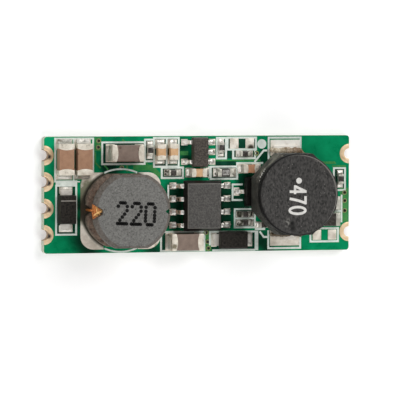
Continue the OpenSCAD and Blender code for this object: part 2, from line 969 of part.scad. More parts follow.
module filter_inductor_terminals()
    color([0.8, 0.79, 0.76])
        on_board(drum_at, 0, land_thickness)
            linear_extrude(electrode)
                difference() {
                    base_outline(electrode_edge, electrode_inset);
                    square([electrode_gap, deep], center = true);
                }

// Output inductor: a small foot, a post and a wide round top carry an eight-sided shield ring
module output_inductor_core()
    color([0.24, 0.24, 0.25])
        on_board(disc_at) {
            translate([0, 0, foot_bottom])
                linear_extrude(foot_top - foot_bottom)
                    intersection() {
                        circle(foot_radius);
                        square([foot_flats, deep], center = true);
                    }
            translate([0, 0, foot_top])
                cylinder(r = core_radius, h = shield_top - foot_top);
            translate([0, 0, shield_top])
                rotate_extrude()
                    polygon([[0, 0], [disc_diameter / 2 - disc_bevel / 2, 0],
                        [disc_diameter / 2, disc_bevel / 2],
                        [disc_diameter / 2, disc_thickness - disc_bevel],
                        [disc_diameter / 2 - disc_bevel, disc_thickness], [0, disc_thickness]]);
        }

module output_inductor_shield()
    color([0.32, 0.32, 0.31])
        on_board(disc_at, 0, shield_lift)
            linear_extrude(shield_top - shield_lift)
                difference() {
                    intersection() {
                        square(shield_flats, center = true);
                        rotate([0, 0, 45])
                            square(shield_flats, center = true);
                    }
                    circle(d = shield_bore);
                }

module output_inductor_winding()
    color([0.78, 0.45, 0.2])
        on_board(disc_at, 0, foot_top)
            linear_extrude(shield_top - foot_top)
                difference() {
                    circle(coil_radius);
                    circle(core_radius + fit_gap);
                }

module output_inductor_terminals()
    color([0.8, 0.79, 0.76])
        on_board(disc_at, 0, land_thickness)
            for (s = sides)
                translate([0, s * (disc_terminal_out - disc_terminal[1] / 2), 0])
                    linear_extrude(disc_strip)
                        square(disc_terminal, center = true);

circuit_board();
input_terminals();
output_terminals();
via_barrels();
solder_lands();
solder_joints();
input_capacitor_a_body();
input_capacitor_a_ends();
input_capacitor_b_body();
input_capacitor_b_ends();
filter_capacitor_body();
filter_capacitor_ends();
supply_capacitor_body();
supply_capacitor_ends();
small_capacitor_a_body();
small_capacitor_a_ends();
small_capacitor_b_body();
small_capacitor_b_ends();
small_capacitor_c_body();
small_capacitor_c_ends();
small_capacitor_d_body();
small_capacitor_d_ends();
sense_resistor_a_body();
sense_resistor_a_ends();
sense_resistor_b_body();
sense_resistor_b_ends();
middle_resistor_body();
middle_resistor_ends();
tiny_resistor_a();
tiny_resistor_b();
tiny_resistor_c();
tiny_resistor_d();
tiny_resistor_e();
tiny_resistor_f();
tiny_resistor_g();
tiny_resistor_h();
tiny_resistor_ends();
resistor_coats();
driver_body();
driver_leads();
regulator_body();
regulator_leads();
transistor_body();
transistor_leads();
input_diode_body();
input_diode_leads();
output_diode_body();
output_diode_leads();
filter_inductor_core();
filter_inductor_winding();
filter_inductor_terminals();
output_inductor_core();
output_inductor_shield();
output_inductor_winding();
output_inductor_terminals();
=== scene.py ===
import math
import random

import bpy
from mathutils import Matrix, Vector


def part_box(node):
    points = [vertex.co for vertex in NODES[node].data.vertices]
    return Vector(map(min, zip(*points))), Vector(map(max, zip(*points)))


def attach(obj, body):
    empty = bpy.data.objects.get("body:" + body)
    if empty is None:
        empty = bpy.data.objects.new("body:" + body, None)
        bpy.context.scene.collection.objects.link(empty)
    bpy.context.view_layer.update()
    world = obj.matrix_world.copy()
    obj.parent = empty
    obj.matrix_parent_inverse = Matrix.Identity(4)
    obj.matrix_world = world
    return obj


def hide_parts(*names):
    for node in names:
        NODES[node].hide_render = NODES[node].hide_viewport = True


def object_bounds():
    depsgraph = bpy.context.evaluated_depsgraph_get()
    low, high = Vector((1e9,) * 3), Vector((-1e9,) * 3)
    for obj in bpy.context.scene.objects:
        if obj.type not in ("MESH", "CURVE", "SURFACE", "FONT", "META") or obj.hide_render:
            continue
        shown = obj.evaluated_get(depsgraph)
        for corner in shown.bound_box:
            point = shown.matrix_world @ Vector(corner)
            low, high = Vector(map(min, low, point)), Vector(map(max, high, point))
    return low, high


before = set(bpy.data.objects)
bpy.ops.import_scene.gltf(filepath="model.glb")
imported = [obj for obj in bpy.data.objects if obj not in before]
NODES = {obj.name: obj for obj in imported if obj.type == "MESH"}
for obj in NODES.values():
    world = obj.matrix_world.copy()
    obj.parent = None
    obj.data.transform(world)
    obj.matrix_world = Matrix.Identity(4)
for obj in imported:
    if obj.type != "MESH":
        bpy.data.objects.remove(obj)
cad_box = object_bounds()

# Circuit board: one millimetre of glass-epoxy laminate under a glossy green lacquer.
# It is routed out of a larger panel, so its sides show bare pale cloth and resin. Painted shade darkens
# the lacquer between the leads and close to the larger pieces, and painted light brightens one corner.
MM = 0.001


def paint(red, green, blue):
    """Display colour, 0 to 255, as the linear colour that a shader wants."""
    shares = [c / 255 for c in (red, green, blue)]
    return [c / 12.92 if c <= 0.04045 else ((c + 0.055) / 1.055) ** 2.4 for c in shares] + [1.0]


def group_of(name, inputs, outputs):
    """Empty shader group with its sockets, its two end nodes and its own place on the object."""
    group = bpy.data.node_groups.new(name, "ShaderNodeTree")
    for socket, kind in inputs:
        group.interface.new_socket(socket, in_out="INPUT", socket_type="NodeSocket" + kind)
    for socket, kind in outputs:
        group.interface.new_socket(socket, in_out="OUTPUT", socket_type="NodeSocket" + kind)
    start = group.nodes.new("NodeGroupInput")
    end = group.nodes.new("NodeGroupOutput")
    place = group.nodes.new("ShaderNodeTexCoord")
    return group, start.outputs, end.inputs, place.outputs["Object"]


def build_grain():
    """Fine grain: two colours mixed by a noise of a given size, with the noise itself for bump."""
    sockets_in = [("Dark", "Color"), ("Light", "Color"), ("Scale", "Float"), ("Stretch", "Vector")]
    group, start, end, place = group_of("grain", sockets_in, [("Colour", "Color"), ("Value", "Float")])
    stretch = group.nodes.new("ShaderNodeVectorMath")
    stretch.operation = "MULTIPLY"
    noise = group.nodes.new("ShaderNodeTexNoise")
    noise.inputs["Detail"].default_value = 4
    noise.inputs["Roughness"].default_value = 0.65
    spread = group.nodes.new("ShaderNodeMapRange")
    spread.inputs["From Min"].default_value = 0.32
    spread.inputs["From Max"].default_value = 0.68
    mix = group.nodes.new("ShaderNodeMix")
    mix.data_type = "RGBA"
    group.links.new(place, stretch.inputs[0])
    group.links.new(start["Stretch"], stretch.inputs[1])
    group.links.new(stretch.outputs[0], noise.inputs["Vector"])
    group.links.new(start["Scale"], noise.inputs["Scale"])
    group.links.new(noise.outputs["Fac"], spread.inputs["Value"])
    group.links.new(spread.outputs["Result"], mix.inputs["Factor"])
    group.links.new(start["Dark"], mix.inputs["A"])
    group.links.new(start["Light"], mix.inputs["B"])
    group.links.new(mix.outputs["Result"], end["Colour"])
    group.links.new(spread.outputs["Result"], end["Value"])
    return group


def maths(tree, operation):
    """Math node of one kind."""
    node = tree.nodes.new("ShaderNodeMath")
    node.operation = operation
    return node


def build_patches():
    """Uneven patches, for stains, flux, thin ink and painted light and shade: a soft mask over part of the
    surface.
    """
    sockets_in = [("Scale", "Float"), ("Cover", "Float"), ("Softness", "Float")]
    group, start, end, place = group_of("patches", sockets_in, [("Mask", "Float")])
    noise = group.nodes.new("ShaderNodeTexNoise")
    noise.inputs["Detail"].default_value = 5
    noise.inputs["Roughness"].default_value = 0.6
    upper = maths(group, "SUBTRACT")
    upper.inputs[0].default_value = 1.0
    top = maths(group, "ADD")
    spread = group.nodes.new("ShaderNodeMapRange")
    spread.interpolation_type = "SMOOTHSTEP"
    group.links.new(place, noise.inputs["Vector"])
    group.links.new(start["Scale"], noise.inputs["Scale"])
    group.links.new(start["Cover"], upper.inputs[1])
    group.links.new(upper.outputs[0], top.inputs[0])
    group.links.new(start["Softness"], top.inputs[1])
    group.links.new(noise.outputs["Fac"], spread.inputs["Value"])
    group.links.new(upper.outputs[0], spread.inputs["From Min"])
    group.links.new(top.outputs[0], spread.inputs["From Max"])
    group.links.new(spread.outputs["Result"], end["Mask"])
    return group


def build_specks():
    """Scattered specks and pits: some cells of a cell pattern carry one small spot."""
    sockets_in = [("Scale", "Float"), ("Radius", "Float"), ("Share", "Float")]
    group, start, end, place = group_of("specks", sockets_in, [("Mask", "Float")])
    cells = group.nodes.new("ShaderNodeTexVoronoi")
    split = group.nodes.new("ShaderNodeSeparateColor")
    near = maths(group, "LESS_THAN")
    chosen = maths(group, "LESS_THAN")
    both = maths(group, "MULTIPLY")
    group.links.new(place, cells.inputs["Vector"])
    group.links.new(start["Scale"], cells.inputs["Scale"])
    group.links.new(cells.outputs["Color"], split.inputs["Color"])
    group.links.new(cells.outputs["Distance"], near.inputs[0])
    group.links.new(start["Radius"], near.inputs[1])
    group.links.new(split.outputs["Red"], chosen.inputs[0])
    group.links.new(start["Share"], chosen.inputs[1])
    group.links.new(near.outputs[0], both.inputs[0])
    group.links.new(chosen.outputs[0], both.inputs[1])
    group.links.new(both.outputs[0], end["Mask"])
    return group


GROUPS = {"grain": build_grain(), "patches": build_patches(), "specks": build_specks()}


def place_group(tree, name, **values):
    """One of the shared groups, placed in a material with its own values."""
    node = tree.nodes.new("ShaderNodeGroup")
    node.node_tree = GROUPS[name]
    for socket, value in values.items():
        node.inputs[socket].default_value = value
    return node


def mix_in(tree, mask, under, over):
    """Colour link: over laid on under where the mask is high; over is a link or a fixed colour."""
    mix = tree.nodes.new("ShaderNodeMix")
    mix.data_type = "RGBA"
    tree.links.new(mask, mix.inputs["Factor"])
    tree.links.new(under, mix.inputs["A"])
    if isinstance(over, list):
        mix.inputs["B"].default_value = over
    else:
        tree.links.new(over, mix.inputs["B"])
    return mix.outputs["Result"]


def between(tree, value, low, high):
    """Number link: a 0 to 1 value spread from low to high."""
    spread = tree.nodes.new("ShaderNodeMapRange")
    spread.inputs["To Min"].default_value = low
    spread.inputs["To Max"].default_value = high
    tree.links.new(value, spread.inputs["Value"])
    return spread.outputs["Result"]


def surface(name, dark, light, scale, rough, relief, metallic=0.0, gloss=0.5, stretch=(1, 1, 1),
            stain=None, stain_scale=900, stain_cover=0.45, spots=None, spot_scale=3000, spot_share=0.2):
    """Finish with grain: two near colours, a roughness range and bump, with stains and spots where given."""
    material = bpy.data.materials.new(name)
    material.use_nodes = True
    tree = material.node_tree
    shader = tree.nodes["Principled BSDF"]
    shader.inputs["Metallic"].default_value = metallic
    shader.inputs["Specular IOR Level"].default_value = gloss
    grain = place_group(tree, "grain", Dark=dark, Light=light, Scale=scale, Stretch=stretch)
    colour = grain.outputs["Colour"]
    if stain:
        patches = place_group(tree, "patches", Scale=stain_scale, Cover=stain_cover, Softness=0.16)
        colour = mix_in(tree, patches.outputs["Mask"], colour, stain)
    if spots:
        specks = place_group(tree, "specks", Scale=spot_scale, Radius=0.3, Share=spot_share)
        colour = mix_in(tree, specks.outputs["Mask"], colour, spots)
    tree.links.new(colour, shader.inputs["Base Color"])
    tree.links.new(between(tree, grain.outputs["Value"], *rough), shader.inputs["Roughness"])
    bump = tree.nodes.new("ShaderNodeBump")
    bump.inputs["Strength"].default_value = 1.0
    bump.inputs["Distance"].default_value = relief * MM
    tree.links.new(grain.outputs["Value"], bump.inputs["Height"])
    tree.links.new(bump.outputs["Normal"], shader.inputs["Normal"])
    return material


def tinted(material, mask, colour):
    """Lays a colour, fixed or from a link, over the material's own where the mask is high."""
    tree = material.node_tree
    shader = tree.nodes["Principled BSDF"]
    under = shader.inputs["Base Color"].links[0].from_socket
    tree.links.new(mix_in(tree, mask, under, colour), shader.inputs["Base Color"])


def sideways(material):
    """Mask of the faces that stand upright."""
    tree = material.node_tree
    facing = tree.nodes.new("ShaderNodeNewGeometry")
    split = tree.nodes.new("ShaderNodeSeparateXYZ")
    upright = maths(tree, "ABSOLUTE")
    side = maths(tree, "LESS_THAN")
    side.inputs[1].default_value = 0.5
    tree.links.new(facing.outputs["Normal"], split.inputs[0])
    tree.links.new(split.outputs["Z"], upright.inputs[0])
    tree.links.new(upright.outputs[0], side.inputs[0])
    return side.outputs[0]


def stain_or_painted_light(material, colour, x, y, z, inner, outer, scale=700, cover=0.55, most=1.0):
    """Ragged patch about one place, used for real stains and for painted light and shade, most inside one
    radius and none past the other; in mm, z in metres.
    """
    tree = material.node_tree
    place = tree.nodes.new("ShaderNodeTexCoord")
    far = tree.nodes.new("ShaderNodeVectorMath")
    far.operation = "DISTANCE"
    far.inputs[1].default_value = (x * MM, y * MM, z)
    fade = tree.nodes.new("ShaderNodeMapRange")
    fade.inputs["From Min"].default_value = inner * MM
    fade.inputs["From Max"].default_value = outer * MM
    fade.inputs["To Min"].default_value = most
    fade.inputs["To Max"].default_value = 0.0
    ragged = place_group(tree, "patches", Scale=scale, Cover=cover, Softness=0.14)
    both = maths(tree, "MULTIPLY")
    tree.links.new(place.outputs["Object"], far.inputs[0])
    tree.links.new(far.outputs["Value"], fade.inputs["Value"])
    tree.links.new(fade.outputs["Result"], both.inputs[0])
    tree.links.new(ragged.outputs["Mask"], both.inputs[1])
    tinted(material, both.outputs[0], colour)


def only(*pieces):
    """Selects these pieces and nothing else, the last one active."""
    bpy.ops.object.select_all(action="DESELECT")
    for piece in pieces:
        piece.select_set(True)
    bpy.context.view_layer.objects.active = pieces[-1]


def finished(piece, material, slot, *nodes):
    """A finished piece: its material, its body and the solids it stands for; slot is not used."""
    piece.data.materials.clear()
    piece.data.materials.append(material)
    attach(piece, "root")
    if nodes:
        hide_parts(*nodes)


BOARD_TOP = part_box("circuit_board")[1].z
green_lacquer = surface("green_lacquer", paint(0, 122, 78), paint(0, 144, 94), 700, (0.24, 0.38), 0.003,
                        gloss=0.1, stain=paint(0, 106, 68), stain_scale=160, stain_cover=0.46)
# Centred over the board, so that no painted shade comes out on its underside: x, y, full inside, gone outside
SHADE_LIFT = 1.0
shade_spots = [(-2.35, 0.3, 0.6, 1.3), (-2.35, -1.1, 0.6, 1.3), (-2.35, -2.5, 0.6, 1.3), (2.65, 0.2, 0.6, 1.3),
              (2.7, -1.1, 0.6, 1.3), (2.65, -2.5, 0.6, 1.3), (4.3, -1.0, 0.8, 1.5), (-11.8, -0.9, 0.3, 1.1),
              (-11.7, -2.6, 0.3, 1.1), (6.3, -4.5, 0.4, 1.2), (6.7, 3.5, 0.4, 1.2), (4.9, 1.1, 0.7, 1.4),
              (-8.6, 2.4, 0.3, 1.3), (-1.6, 4.6, 0.2, 1.1), (-1.2, 3.35, 0.3, 0.9), (-11.5, -4.3, 0.4, 1.6),
              (-10.8, -5.3, 0.3, 1.5), (-4.5, -5.5, 0.2, 1.4), (-9.1, 2.8, 0.3, 1.0), (7.0, -5.3, 0.2, 0.9)]
# Painted shade: dark patches on the lacquer at these places.
for x, y, inner, outer in shade_spots:
    stain_or_painted_light(green_lacquer, paint(4, 38, 26), x, y, BOARD_TOP + SHADE_LIFT * MM, math.hypot(inner, SHADE_LIFT),
            math.hypot(outer, SHADE_LIFT), cover=0.8, most=0.9)
# Painted light: a lighter green patch at the top left corner.
stain_or_painted_light(green_lacquer, paint(0, 153, 101), -14.7, 5.4, BOARD_TOP, 0.6, 1.6, cover=1.0)
weave = place_group(green_lacquer.node_tree, "grain", Dark=paint(188, 200, 168), Light=paint(226, 232, 210),
                    Scale=2600, Stretch=(0.35, 0.35, 3))
tinted(green_lacquer, sideways(green_lacquer), weave.outputs["Colour"])
NODES["circuit_board"].data.materials.clear()
NODES["circuit_board"].data.materials.append(green_lacquer)

# Copper under the lacquer: ground areas and tracks etched from the foil.
# The lacquer follows them as low steps, a lighter and yellower green than around them.
POUR_THICK = 0.014
POUR_LEVEL = BOARD_TOP
TRACK_WIDE = 0.16
TRACK_LEVEL = POUR_LEVEL - 0.001 * MM


def join(pieces, name):
    """Several loose shapes made one piece."""
    only(*pieces)
    if len(pieces) > 1:
        bpy.ops.object.join()
    piece = bpy.context.view_layer.objects.active
    piece.name = name
    return piece


def settle(piece):
    """Puts the object's place and turn into its mesh."""
    only(piece)
    bpy.ops.object.transform_apply(location=True, rotation=True, scale=True)
    return piece


def as_mesh(curve, name):
    """A curve made a mesh piece."""
    piece = bpy.data.objects.new(name, curve)
    bpy.context.scene.collection.objects.link(piece)
    only(piece)
    bpy.ops.object.convert(target="MESH")
    return bpy.context.view_layer.objects.active


def plate(outlines, thick, height):
    """Flat raised shape, its middle at height in metres: the first outline in mm, the others holes in it."""
    curve = bpy.data.curves.new("plate", "CURVE")
    curve.dimensions = "2D"
    curve.fill_mode = "BOTH"
    curve.extrude = thick / 2 * MM
    for outline in outlines:
        spline = curve.splines.new("POLY")
        spline.points.add(len(outline) - 1)
        for point, (x, y) in zip(spline.points, outline):
            point.co = (x * MM, y * MM, 0, 1)
        spline.use_cyclic_u = True
    piece = as_mesh(curve, "plate")
    piece.location.z = height
    return settle(piece)


def beside(points, shift, closed):
    """The same line moved sideways by shift mm, its corners mitred."""
    moved = []
    last = len(points) - 1
    for i, point in enumerate(points):
        here = Vector(point)
        ends = []
        if closed or i > 0:
            ends.append((Vector(points[i - 1]), here))
        if closed or i < last:
            ends.append((here, Vector(points[(i + 1) % len(points)])))
        normals = []
        for start, stop in ends:
            along = (stop - start).normalized()
            normals.append(Vector((-along.y, along.x)))
        middle = sum(normals, Vector((0, 0))).normalized()
        moved.append(tuple(here + middle * shift / max(0.4, middle.dot(normals[0]))))
    return moved


def ribbon(points, width, thick, height, closed=False):
    """Flat line of an even width along points in mm."""
    left = beside(points, width / 2, closed)
    right = beside(points, -width / 2, closed)
    return plate([left, right] if closed else [left + right[::-1]], thick, height)


def rectangle(x0, y0, x1, y1):
    """Corners of a rectangle from two opposite ones."""
    return [(x0, y0), (x1, y0), (x1, y1), (x0, y1)]


def arc(cx, cy, radius, start, stop, steps=24):
    """Points of an arc, angles in degrees."""
    turn = [math.radians(start + (stop - start) * i / steps) for i in range(steps + 1)]
    return [(cx + radius * math.cos(a), cy + radius * math.sin(a)) for a in turn]


def ring_hole(x, y):
    """Opening that a plated hole needs in the foil round it."""
    return arc(x, y, 0.27, 0, 345, 23)


pours = [
    [rectangle(14.45, -2.85, 15.25, 0.45), ring_hole(14.9, 0), ring_hole(14.92, -0.79),
     ring_hole(14.92, -1.76)],
    [[(12.3, 3.05), (13.9, 3.05), (14.05, 2.8), (12.1, 2.8)]],
    [rectangle(0.48, -5.57, 1.36, -3.42), ring_hole(0.83, -3.75), ring_hole(0.98, -4.65),
     ring_hole(1.06, -5.28)],
    [rectangle(-10.32, 4.2, -9.66, 5.52), ring_hole(-9.96, 5.18), ring_hole(-9.99, 4.57)],
    [[(-6.5, 2.85), (-4.6, 2.85), (-3.75, 2.0), (-3.9, 1.65), (-4.9, 2.3), (-6.5, 2.3)]],
    [rectangle(1.75, 3.15, 6.3, 3.27)],
    [rectangle(-1.8, 3.75, -1.0, 4.15)],
]
tracks = [
    [(-10.28, 4.1), (-10.28, 3.1), (-9.75, 2.55)],
    [(-9.4, 2.86), (-9.0, 2.4)],
    [(-5.25, 3.05), (-4.75, 2.6)],
    [(-4.4, 2.5), (-3.65, 1.75), (-3.2, 1.75)],
    [(-7.1, 2.8), (-7.1, 2.2)],
    [(13.6, 2.6), (14.95, 2.6), (14.95, 0.6)],
    [(-7.6, 5.3), (-7.3, 5.05)],
]
copper_steps = [plate(outlines, POUR_THICK, POUR_LEVEL) for outlines in pours]
copper_steps += [ribbon(line, TRACK_WIDE, POUR_THICK, TRACK_LEVEL) for line in tracks]
covered_copper = surface("covered_copper", paint(52, 128, 70), paint(80, 148, 82), 900, (0.22, 0.36), 0.003,
                         gloss=0.12, stain=paint(30, 116, 64), stain_scale=300)
finished(join(copper_steps, "copper_under_lacquer"), covered_copper, "green_mask_laminate")

# Flux film: resin from the solder paste, spread under and round the chips by the reflow oven and left
# unwashed.
# It lies inside the printed places and darkens the lacquer there, as dried flux and as painted shade.
FILM_THICK = 0.012
FILM_LEVEL = BOARD_TOP + 0.0005 * MM
chip_places = [
    (-9.6, 2.94, -5.37, 5.03), (-5.33, 3.2, -4.43, 5.27), (-4.43, 2.66, -1.96, 5.43),
    (-3.65, 1.57, -1.52, 2.56), (1.27, 1.44, 3.94, 2.62), (1.89, 3.42, 2.8, 5.4),
    (2.95, 4.28, 5.83, 5.42), (3.53, 3.42, 5.75, 4.27), (3.71, -3.29, 5.75, -1.52),
]
film_places = chip_places + [
    (1.34, -5.48, 5.92, -3.7), (-3.7, -5.48, 0.6, -3.65), (13.8, 0.4, 14.94, 2.39),
    (-14.15, -3.79, -12.17, 0.9), (1.75, 2.7, 3.85, 3.15), (2.85, 3.4, 3.43, 4.2),
]
film = [plate([rectangle(*place)], FILM_THICK, FILM_LEVEL) for place in film_places]
flux_and_shade_film = surface("flux_and_shade_film", paint(5, 50, 35), paint(13, 74, 52), 900, (0.24, 0.4), 0.003, gloss=0.1,
                    stain=paint(8, 84, 56), stain_scale=500, stain_cover=0.42)
finished(join(film, "flux_and_shade_film"), flux_and_shade_film, "green_mask_laminate")

# Half-hole terminals: plated barrels cut through when the board was routed out.
# Gold over nickel, softly worn, a little darker where solder flux has dried.
pale_gold = surface("pale_gold", paint(226, 194, 150), paint(246, 220, 184), 1500, (0.3, 0.48), 0.002,
                    metallic=0.4, stain=paint(200, 164, 120), stain_scale=500, stain_cover=0.42)


def cad_copy(node, name):
    """The solid's own shape as a clean mesh: doubles merged, flat faces made whole."""
    piece = bpy.data.objects.new(name, NODES[node].data.copy())
    bpy.context.scene.collection.objects.link(piece)
    only(piece)
    bpy.ops.mesh.customdata_custom_splitnormals_clear()
    bpy.ops.object.mode_set(mode="EDIT")
    bpy.ops.mesh.select_all(action="SELECT")
    bpy.ops.mesh.remove_doubles(threshold=1e-6)
    bpy.ops.mesh.dissolve_limited(angle_limit=math.radians(0.5))
    bpy.ops.object.mode_set(mode="OBJECT")
    return piece


def apply(piece, kind, **settings):
    """One modifier with these settings, applied."""
    only(piece)
    step = piece.modifiers.new(kind.lower(), kind)
    for setting, value in settings.items():
        setattr(step, setting, value)
    bpy.ops.object.modifier_apply(modifier=step.name)


def soften(piece, radius, segments=2, angle=40):
    """Rounds the edges by a radius in mm and shades the rounding into the faces."""
    apply(piece, "BEVEL", width=radius * MM, segments=segments, limit_method="ANGLE",
          angle_limit=math.radians(angle), use_clamp_overlap=True)
    only(piece)
    bpy.ops.object.shade_smooth_by_angle(angle=math.radians(55))
    apply(piece, "WEIGHTED_NORMAL", keep_sharp=True)
    return piece


def rounded(node, radius, material, slot, segments=2, angle=40):
    """A solid with softened edges and its finish, in the solid's place."""
    finished(soften(cad_copy(node, "shown_" + node), radius, segments, angle), material, slot, node)


# Painted shade: the upright barrel walls are darker than the ring, with a dark painted shadow near the top of
# each.
tinted(pale_gold, sideways(pale_gold), paint(176, 144, 104))
for y in (-3.81, -1.27, 1.27, 3.81):
    stain_or_painted_light(pale_gold, paint(44, 32, 20), -14.86, y - 0.12, BOARD_TOP - 0.15 * MM, 0.18, 0.36, 900, 0.9)
for node in ("input_terminals", "output_terminals"):
    rounded(node, 0.015, pale_gold, "gold_plating")

# Barrels of the small holes: copper plated through the board, joining its two faces.
# They are open, have painted shade on their inner walls, and end in a narrow ring under the lacquer's edge.
barrel_copper = surface("barrel_copper", paint(112, 124, 70), paint(150, 158, 104), 2000, (0.35, 0.5), 0.002,
                        metallic=0.2)
# Painted shade: the upright inner walls are near black.
tinted(barrel_copper, sideways(barrel_copper), paint(20, 22, 12))
rounded("via_barrels", 0.01, barrel_copper, "plated_copper")

# Legend: outlines of the part places, printed through a screen in white ink.
# The ink stands a little proud and is thin in places; each line has its own level where two cross.
INK_THICK = 0.02
INK_LEVEL = BOARD_TOP + 0.002 * MM
INK_STEP = 0.0008 * MM
# width of the line, then its box
legend_boxes = list(zip((0.18, 0.19, 0.19, 0.2, 0.19, 0.2, 0.2, 0.2, 0.18), chip_places)) + [
    (0.18, (-3.7, -5.48, 0.66, -3.65)),
    (0.18, (13.8, 0.25, 14.94, 2.39)),
    (0.19, (11.43, -4.75, 14.25, -3.47)),
]
# width of the line, then its points
legend_lines = [
    (0.18, [(-12.05, 1.32), (-14.25, 1.32), (-14.25, 5.42), (-10.5, 5.42), (-10.5, 2.0)]),
    (0.15, [(-12.42, 5.42), (-12.42, 1.3)]),
    (0.18, [(-14.15, 1.0), (-14.15, -3.79), (-12.17, -3.79), (-12.17, 0.9)]),
    (0.18, [(-3.17, 2.66), (-3.17, 5.43)]),
    (0.26, [(1.14, 1.5), (1.14, 2.66)]),
    (0.2, [(3.94, 1.5), (3.94, 2.94), (6.57, 2.94)]),
    (0.19, [(5.7, 3.06), (6.62, 4.16), (6.98, 4.16)]),
    (0.19, [(6.25, -3.7), (6.66, -4.25), (7.03, -4.25)]),
    (0.18, [(4.5, 0.88), (3.48, 0.88), (3.48, -0.63), (4.5, -0.63)]),
    (0.17, [(3.71, -2.43), (5.75, -2.43)]),
    (0.2, [(5.75, -3.47), (6.7, -3.47), (6.7, -3.1)]),
    (0.36, [(5.92, -3.62), (5.92, -5.52)]),
    (0.18, [(1.21, -5.0), (1.21, -3.7), (5.8, -3.7)]),
    (0.18, [(1.45, -5.48), (5.8, -5.48)]),
    (0.16, [(-3.0, 0.9), (-3.0, -1.35)]),
    (0.16, arc(-7.75, -1.56, 4.02, 66, 114)),
    (0.16, arc(-7.75, -1.56, 3.94, 246, 294)),
    (0.19, [(7.12, 3.3), (7.12, 5.4), (10.37, 5.4), (10.37, 4.3)]),
    (0.19, [(7.12, -3.6), (7.12, -5.35), (10.37, -5.35), (10.37, -4.3)]),
    (0.17, [(14.6, -0.2), (14.6, -2.9)]),
    (0.17, [(13.9, -1.8), (14.6, -1.8)]),
]
legend = []
for width, place in legend_boxes:
    level = INK_LEVEL + len(legend) * INK_STEP
    legend.append(ribbon(rectangle(*place), width, INK_THICK, level, closed=True))
for width, points in legend_lines:
    legend.append(ribbon(points, width, INK_THICK, INK_LEVEL + len(legend) * INK_STEP))
for corners in (rectangle(-14.2, 0.82, -12.08, 1.32), rectangle(-12.1, 1.22, -11.8, 1.34),
                arc(6.42, 4.8, 0.46, 0, 351, 39)):
    legend.append(plate([corners], INK_THICK, INK_LEVEL + len(legend) * INK_STEP))
white_ink = surface("white_ink", paint(204, 215, 206), paint(232, 240, 232), 2500, (0.5, 0.68), 0.004,
                    stain=paint(164, 186, 170), stain_scale=1100, stain_cover=0.38)
finished(join(legend, "printed_legend"), white_ink, "green_mask_laminate")

# Lands: copper left open by the lacquer and tinned in the reflow.
# They are dull or dark where flux dried, and painted glare lightens them in patches.
tinned_land = surface("tinned_land", paint(208, 198, 182), paint(246, 238, 224), 1300, (0.3, 0.5), 0.014,
                      metallic=0.2, stain=paint(172, 160, 138), stain_scale=800, stain_cover=0.42)
painted_glare = place_group(tinned_land.node_tree, "patches", Scale=620, Cover=0.46, Softness=0.12)
tinted(tinned_land, painted_glare.outputs["Mask"], paint(250, 245, 234))
# Painted glare on the land above the round top.
stain_or_painted_light(tinned_land, paint(253, 249, 240), 8.9, 5.0, BOARD_TOP, 1.0, 1.9, 500, 0.7)
stain_or_painted_light(tinned_land, paint(128, 128, 106), -11.7, -0.5, BOARD_TOP, 1.9, 2.5, 500, 0.68)
stain_or_painted_light(tinned_land, paint(62, 58, 44), -11.6, -1.45, BOARD_TOP, 0.6, 1.2, cover=0.75)
stain_or_painted_light(tinned_land, paint(66, 60, 46), 5.3, 4.42, BOARD_TOP, 0.22, 0.42, 1500, 0.75)
# Painted shade and flux in a ring round the drum's foot.
stain_or_painted_light(tinned_land, paint(70, 66, 54), -7.74, -1.45, BOARD_TOP, 3.9, 4.12, 1200, 0.95)
rounded("solder_lands", 0.02, tinned_land, "solder")

# Chip capacitors: fired ceramic blocks with dipped and plated ends.
# Each size is one batch, so its blocks share a colour; the ends are satin tin, uneven at the dip line.
brown_ceramic = surface("brown_ceramic", paint(150, 112, 86), paint(168, 129, 101), 2200, (0.38, 0.52), 0.002,
                        spots=paint(122, 88, 68), spot_scale=2600, spot_share=0.08)
grey_ceramic = surface("grey_ceramic", paint(118, 101, 90), paint(136, 118, 106), 2200, (0.36, 0.5), 0.002,
                       spots=paint(98, 78, 68), spot_scale=2200, spot_share=0.1)
tan_ceramic = surface("tan_ceramic", paint(194, 152, 108), paint(213, 174, 132), 2600, (0.4, 0.55), 0.002)
red_ceramic = surface("red_ceramic", paint(182, 130, 96), paint(204, 152, 116), 2600, (0.4, 0.55), 0.002)
satin_tin = surface("satin_tin", paint(214, 205, 188), paint(246, 239, 224), 1800, (0.26, 0.44), 0.008,
                    metallic=0.2, stain=paint(138, 129, 107), stain_scale=1100, stain_cover=0.44)
capacitors = [
    ("input_capacitor_a", brown_ceramic, "brown_ceramic", 0.05),
    ("input_capacitor_b", brown_ceramic, "brown_ceramic", 0.05),
    ("filter_capacitor", grey_ceramic, "grey_brown_ceramic", 0.05),
    ("supply_capacitor", grey_ceramic, "grey_brown_ceramic", 0.05),
    ("small_capacitor_a", tan_ceramic, "tan_ceramic", 0.03),
    ("small_capacitor_b", tan_ceramic, "tan_ceramic", 0.03),
    ("small_capacitor_c", tan_ceramic, "tan_ceramic", 0.03),
    ("small_capacitor_d", red_ceramic, "tan_ceramic", 0.03),
]
for name, ceramic, slot, radius in capacitors:
    rounded(name + "_body", 0.02, ceramic, slot)
    rounded(name + "_ends", radius, satin_tin, "tinned_ends", segments=3)

# Chip resistors: a white ceramic plate with a black glass coat fired on top.
# Plated strips are folded round the ends; soldering left them dull, and burnt flux darkens some.
white_ceramic = surface("white_ceramic", paint(222, 220, 212), paint(240, 238, 232), 2400, (0.4, 0.55), 0.002)
glass_coat = surface("glass_coat", paint(50, 47, 44), paint(78, 73, 68), 2600, (0.2, 0.34), 0.003, gloss=0.4)
dull_tin = surface("dull_tin", paint(172, 170, 156), paint(222, 219, 207), 1600, (0.26, 0.44), 0.008,
                   metallic=0.3, stain=paint(104, 104, 88), stain_scale=1500, stain_cover=0.44)
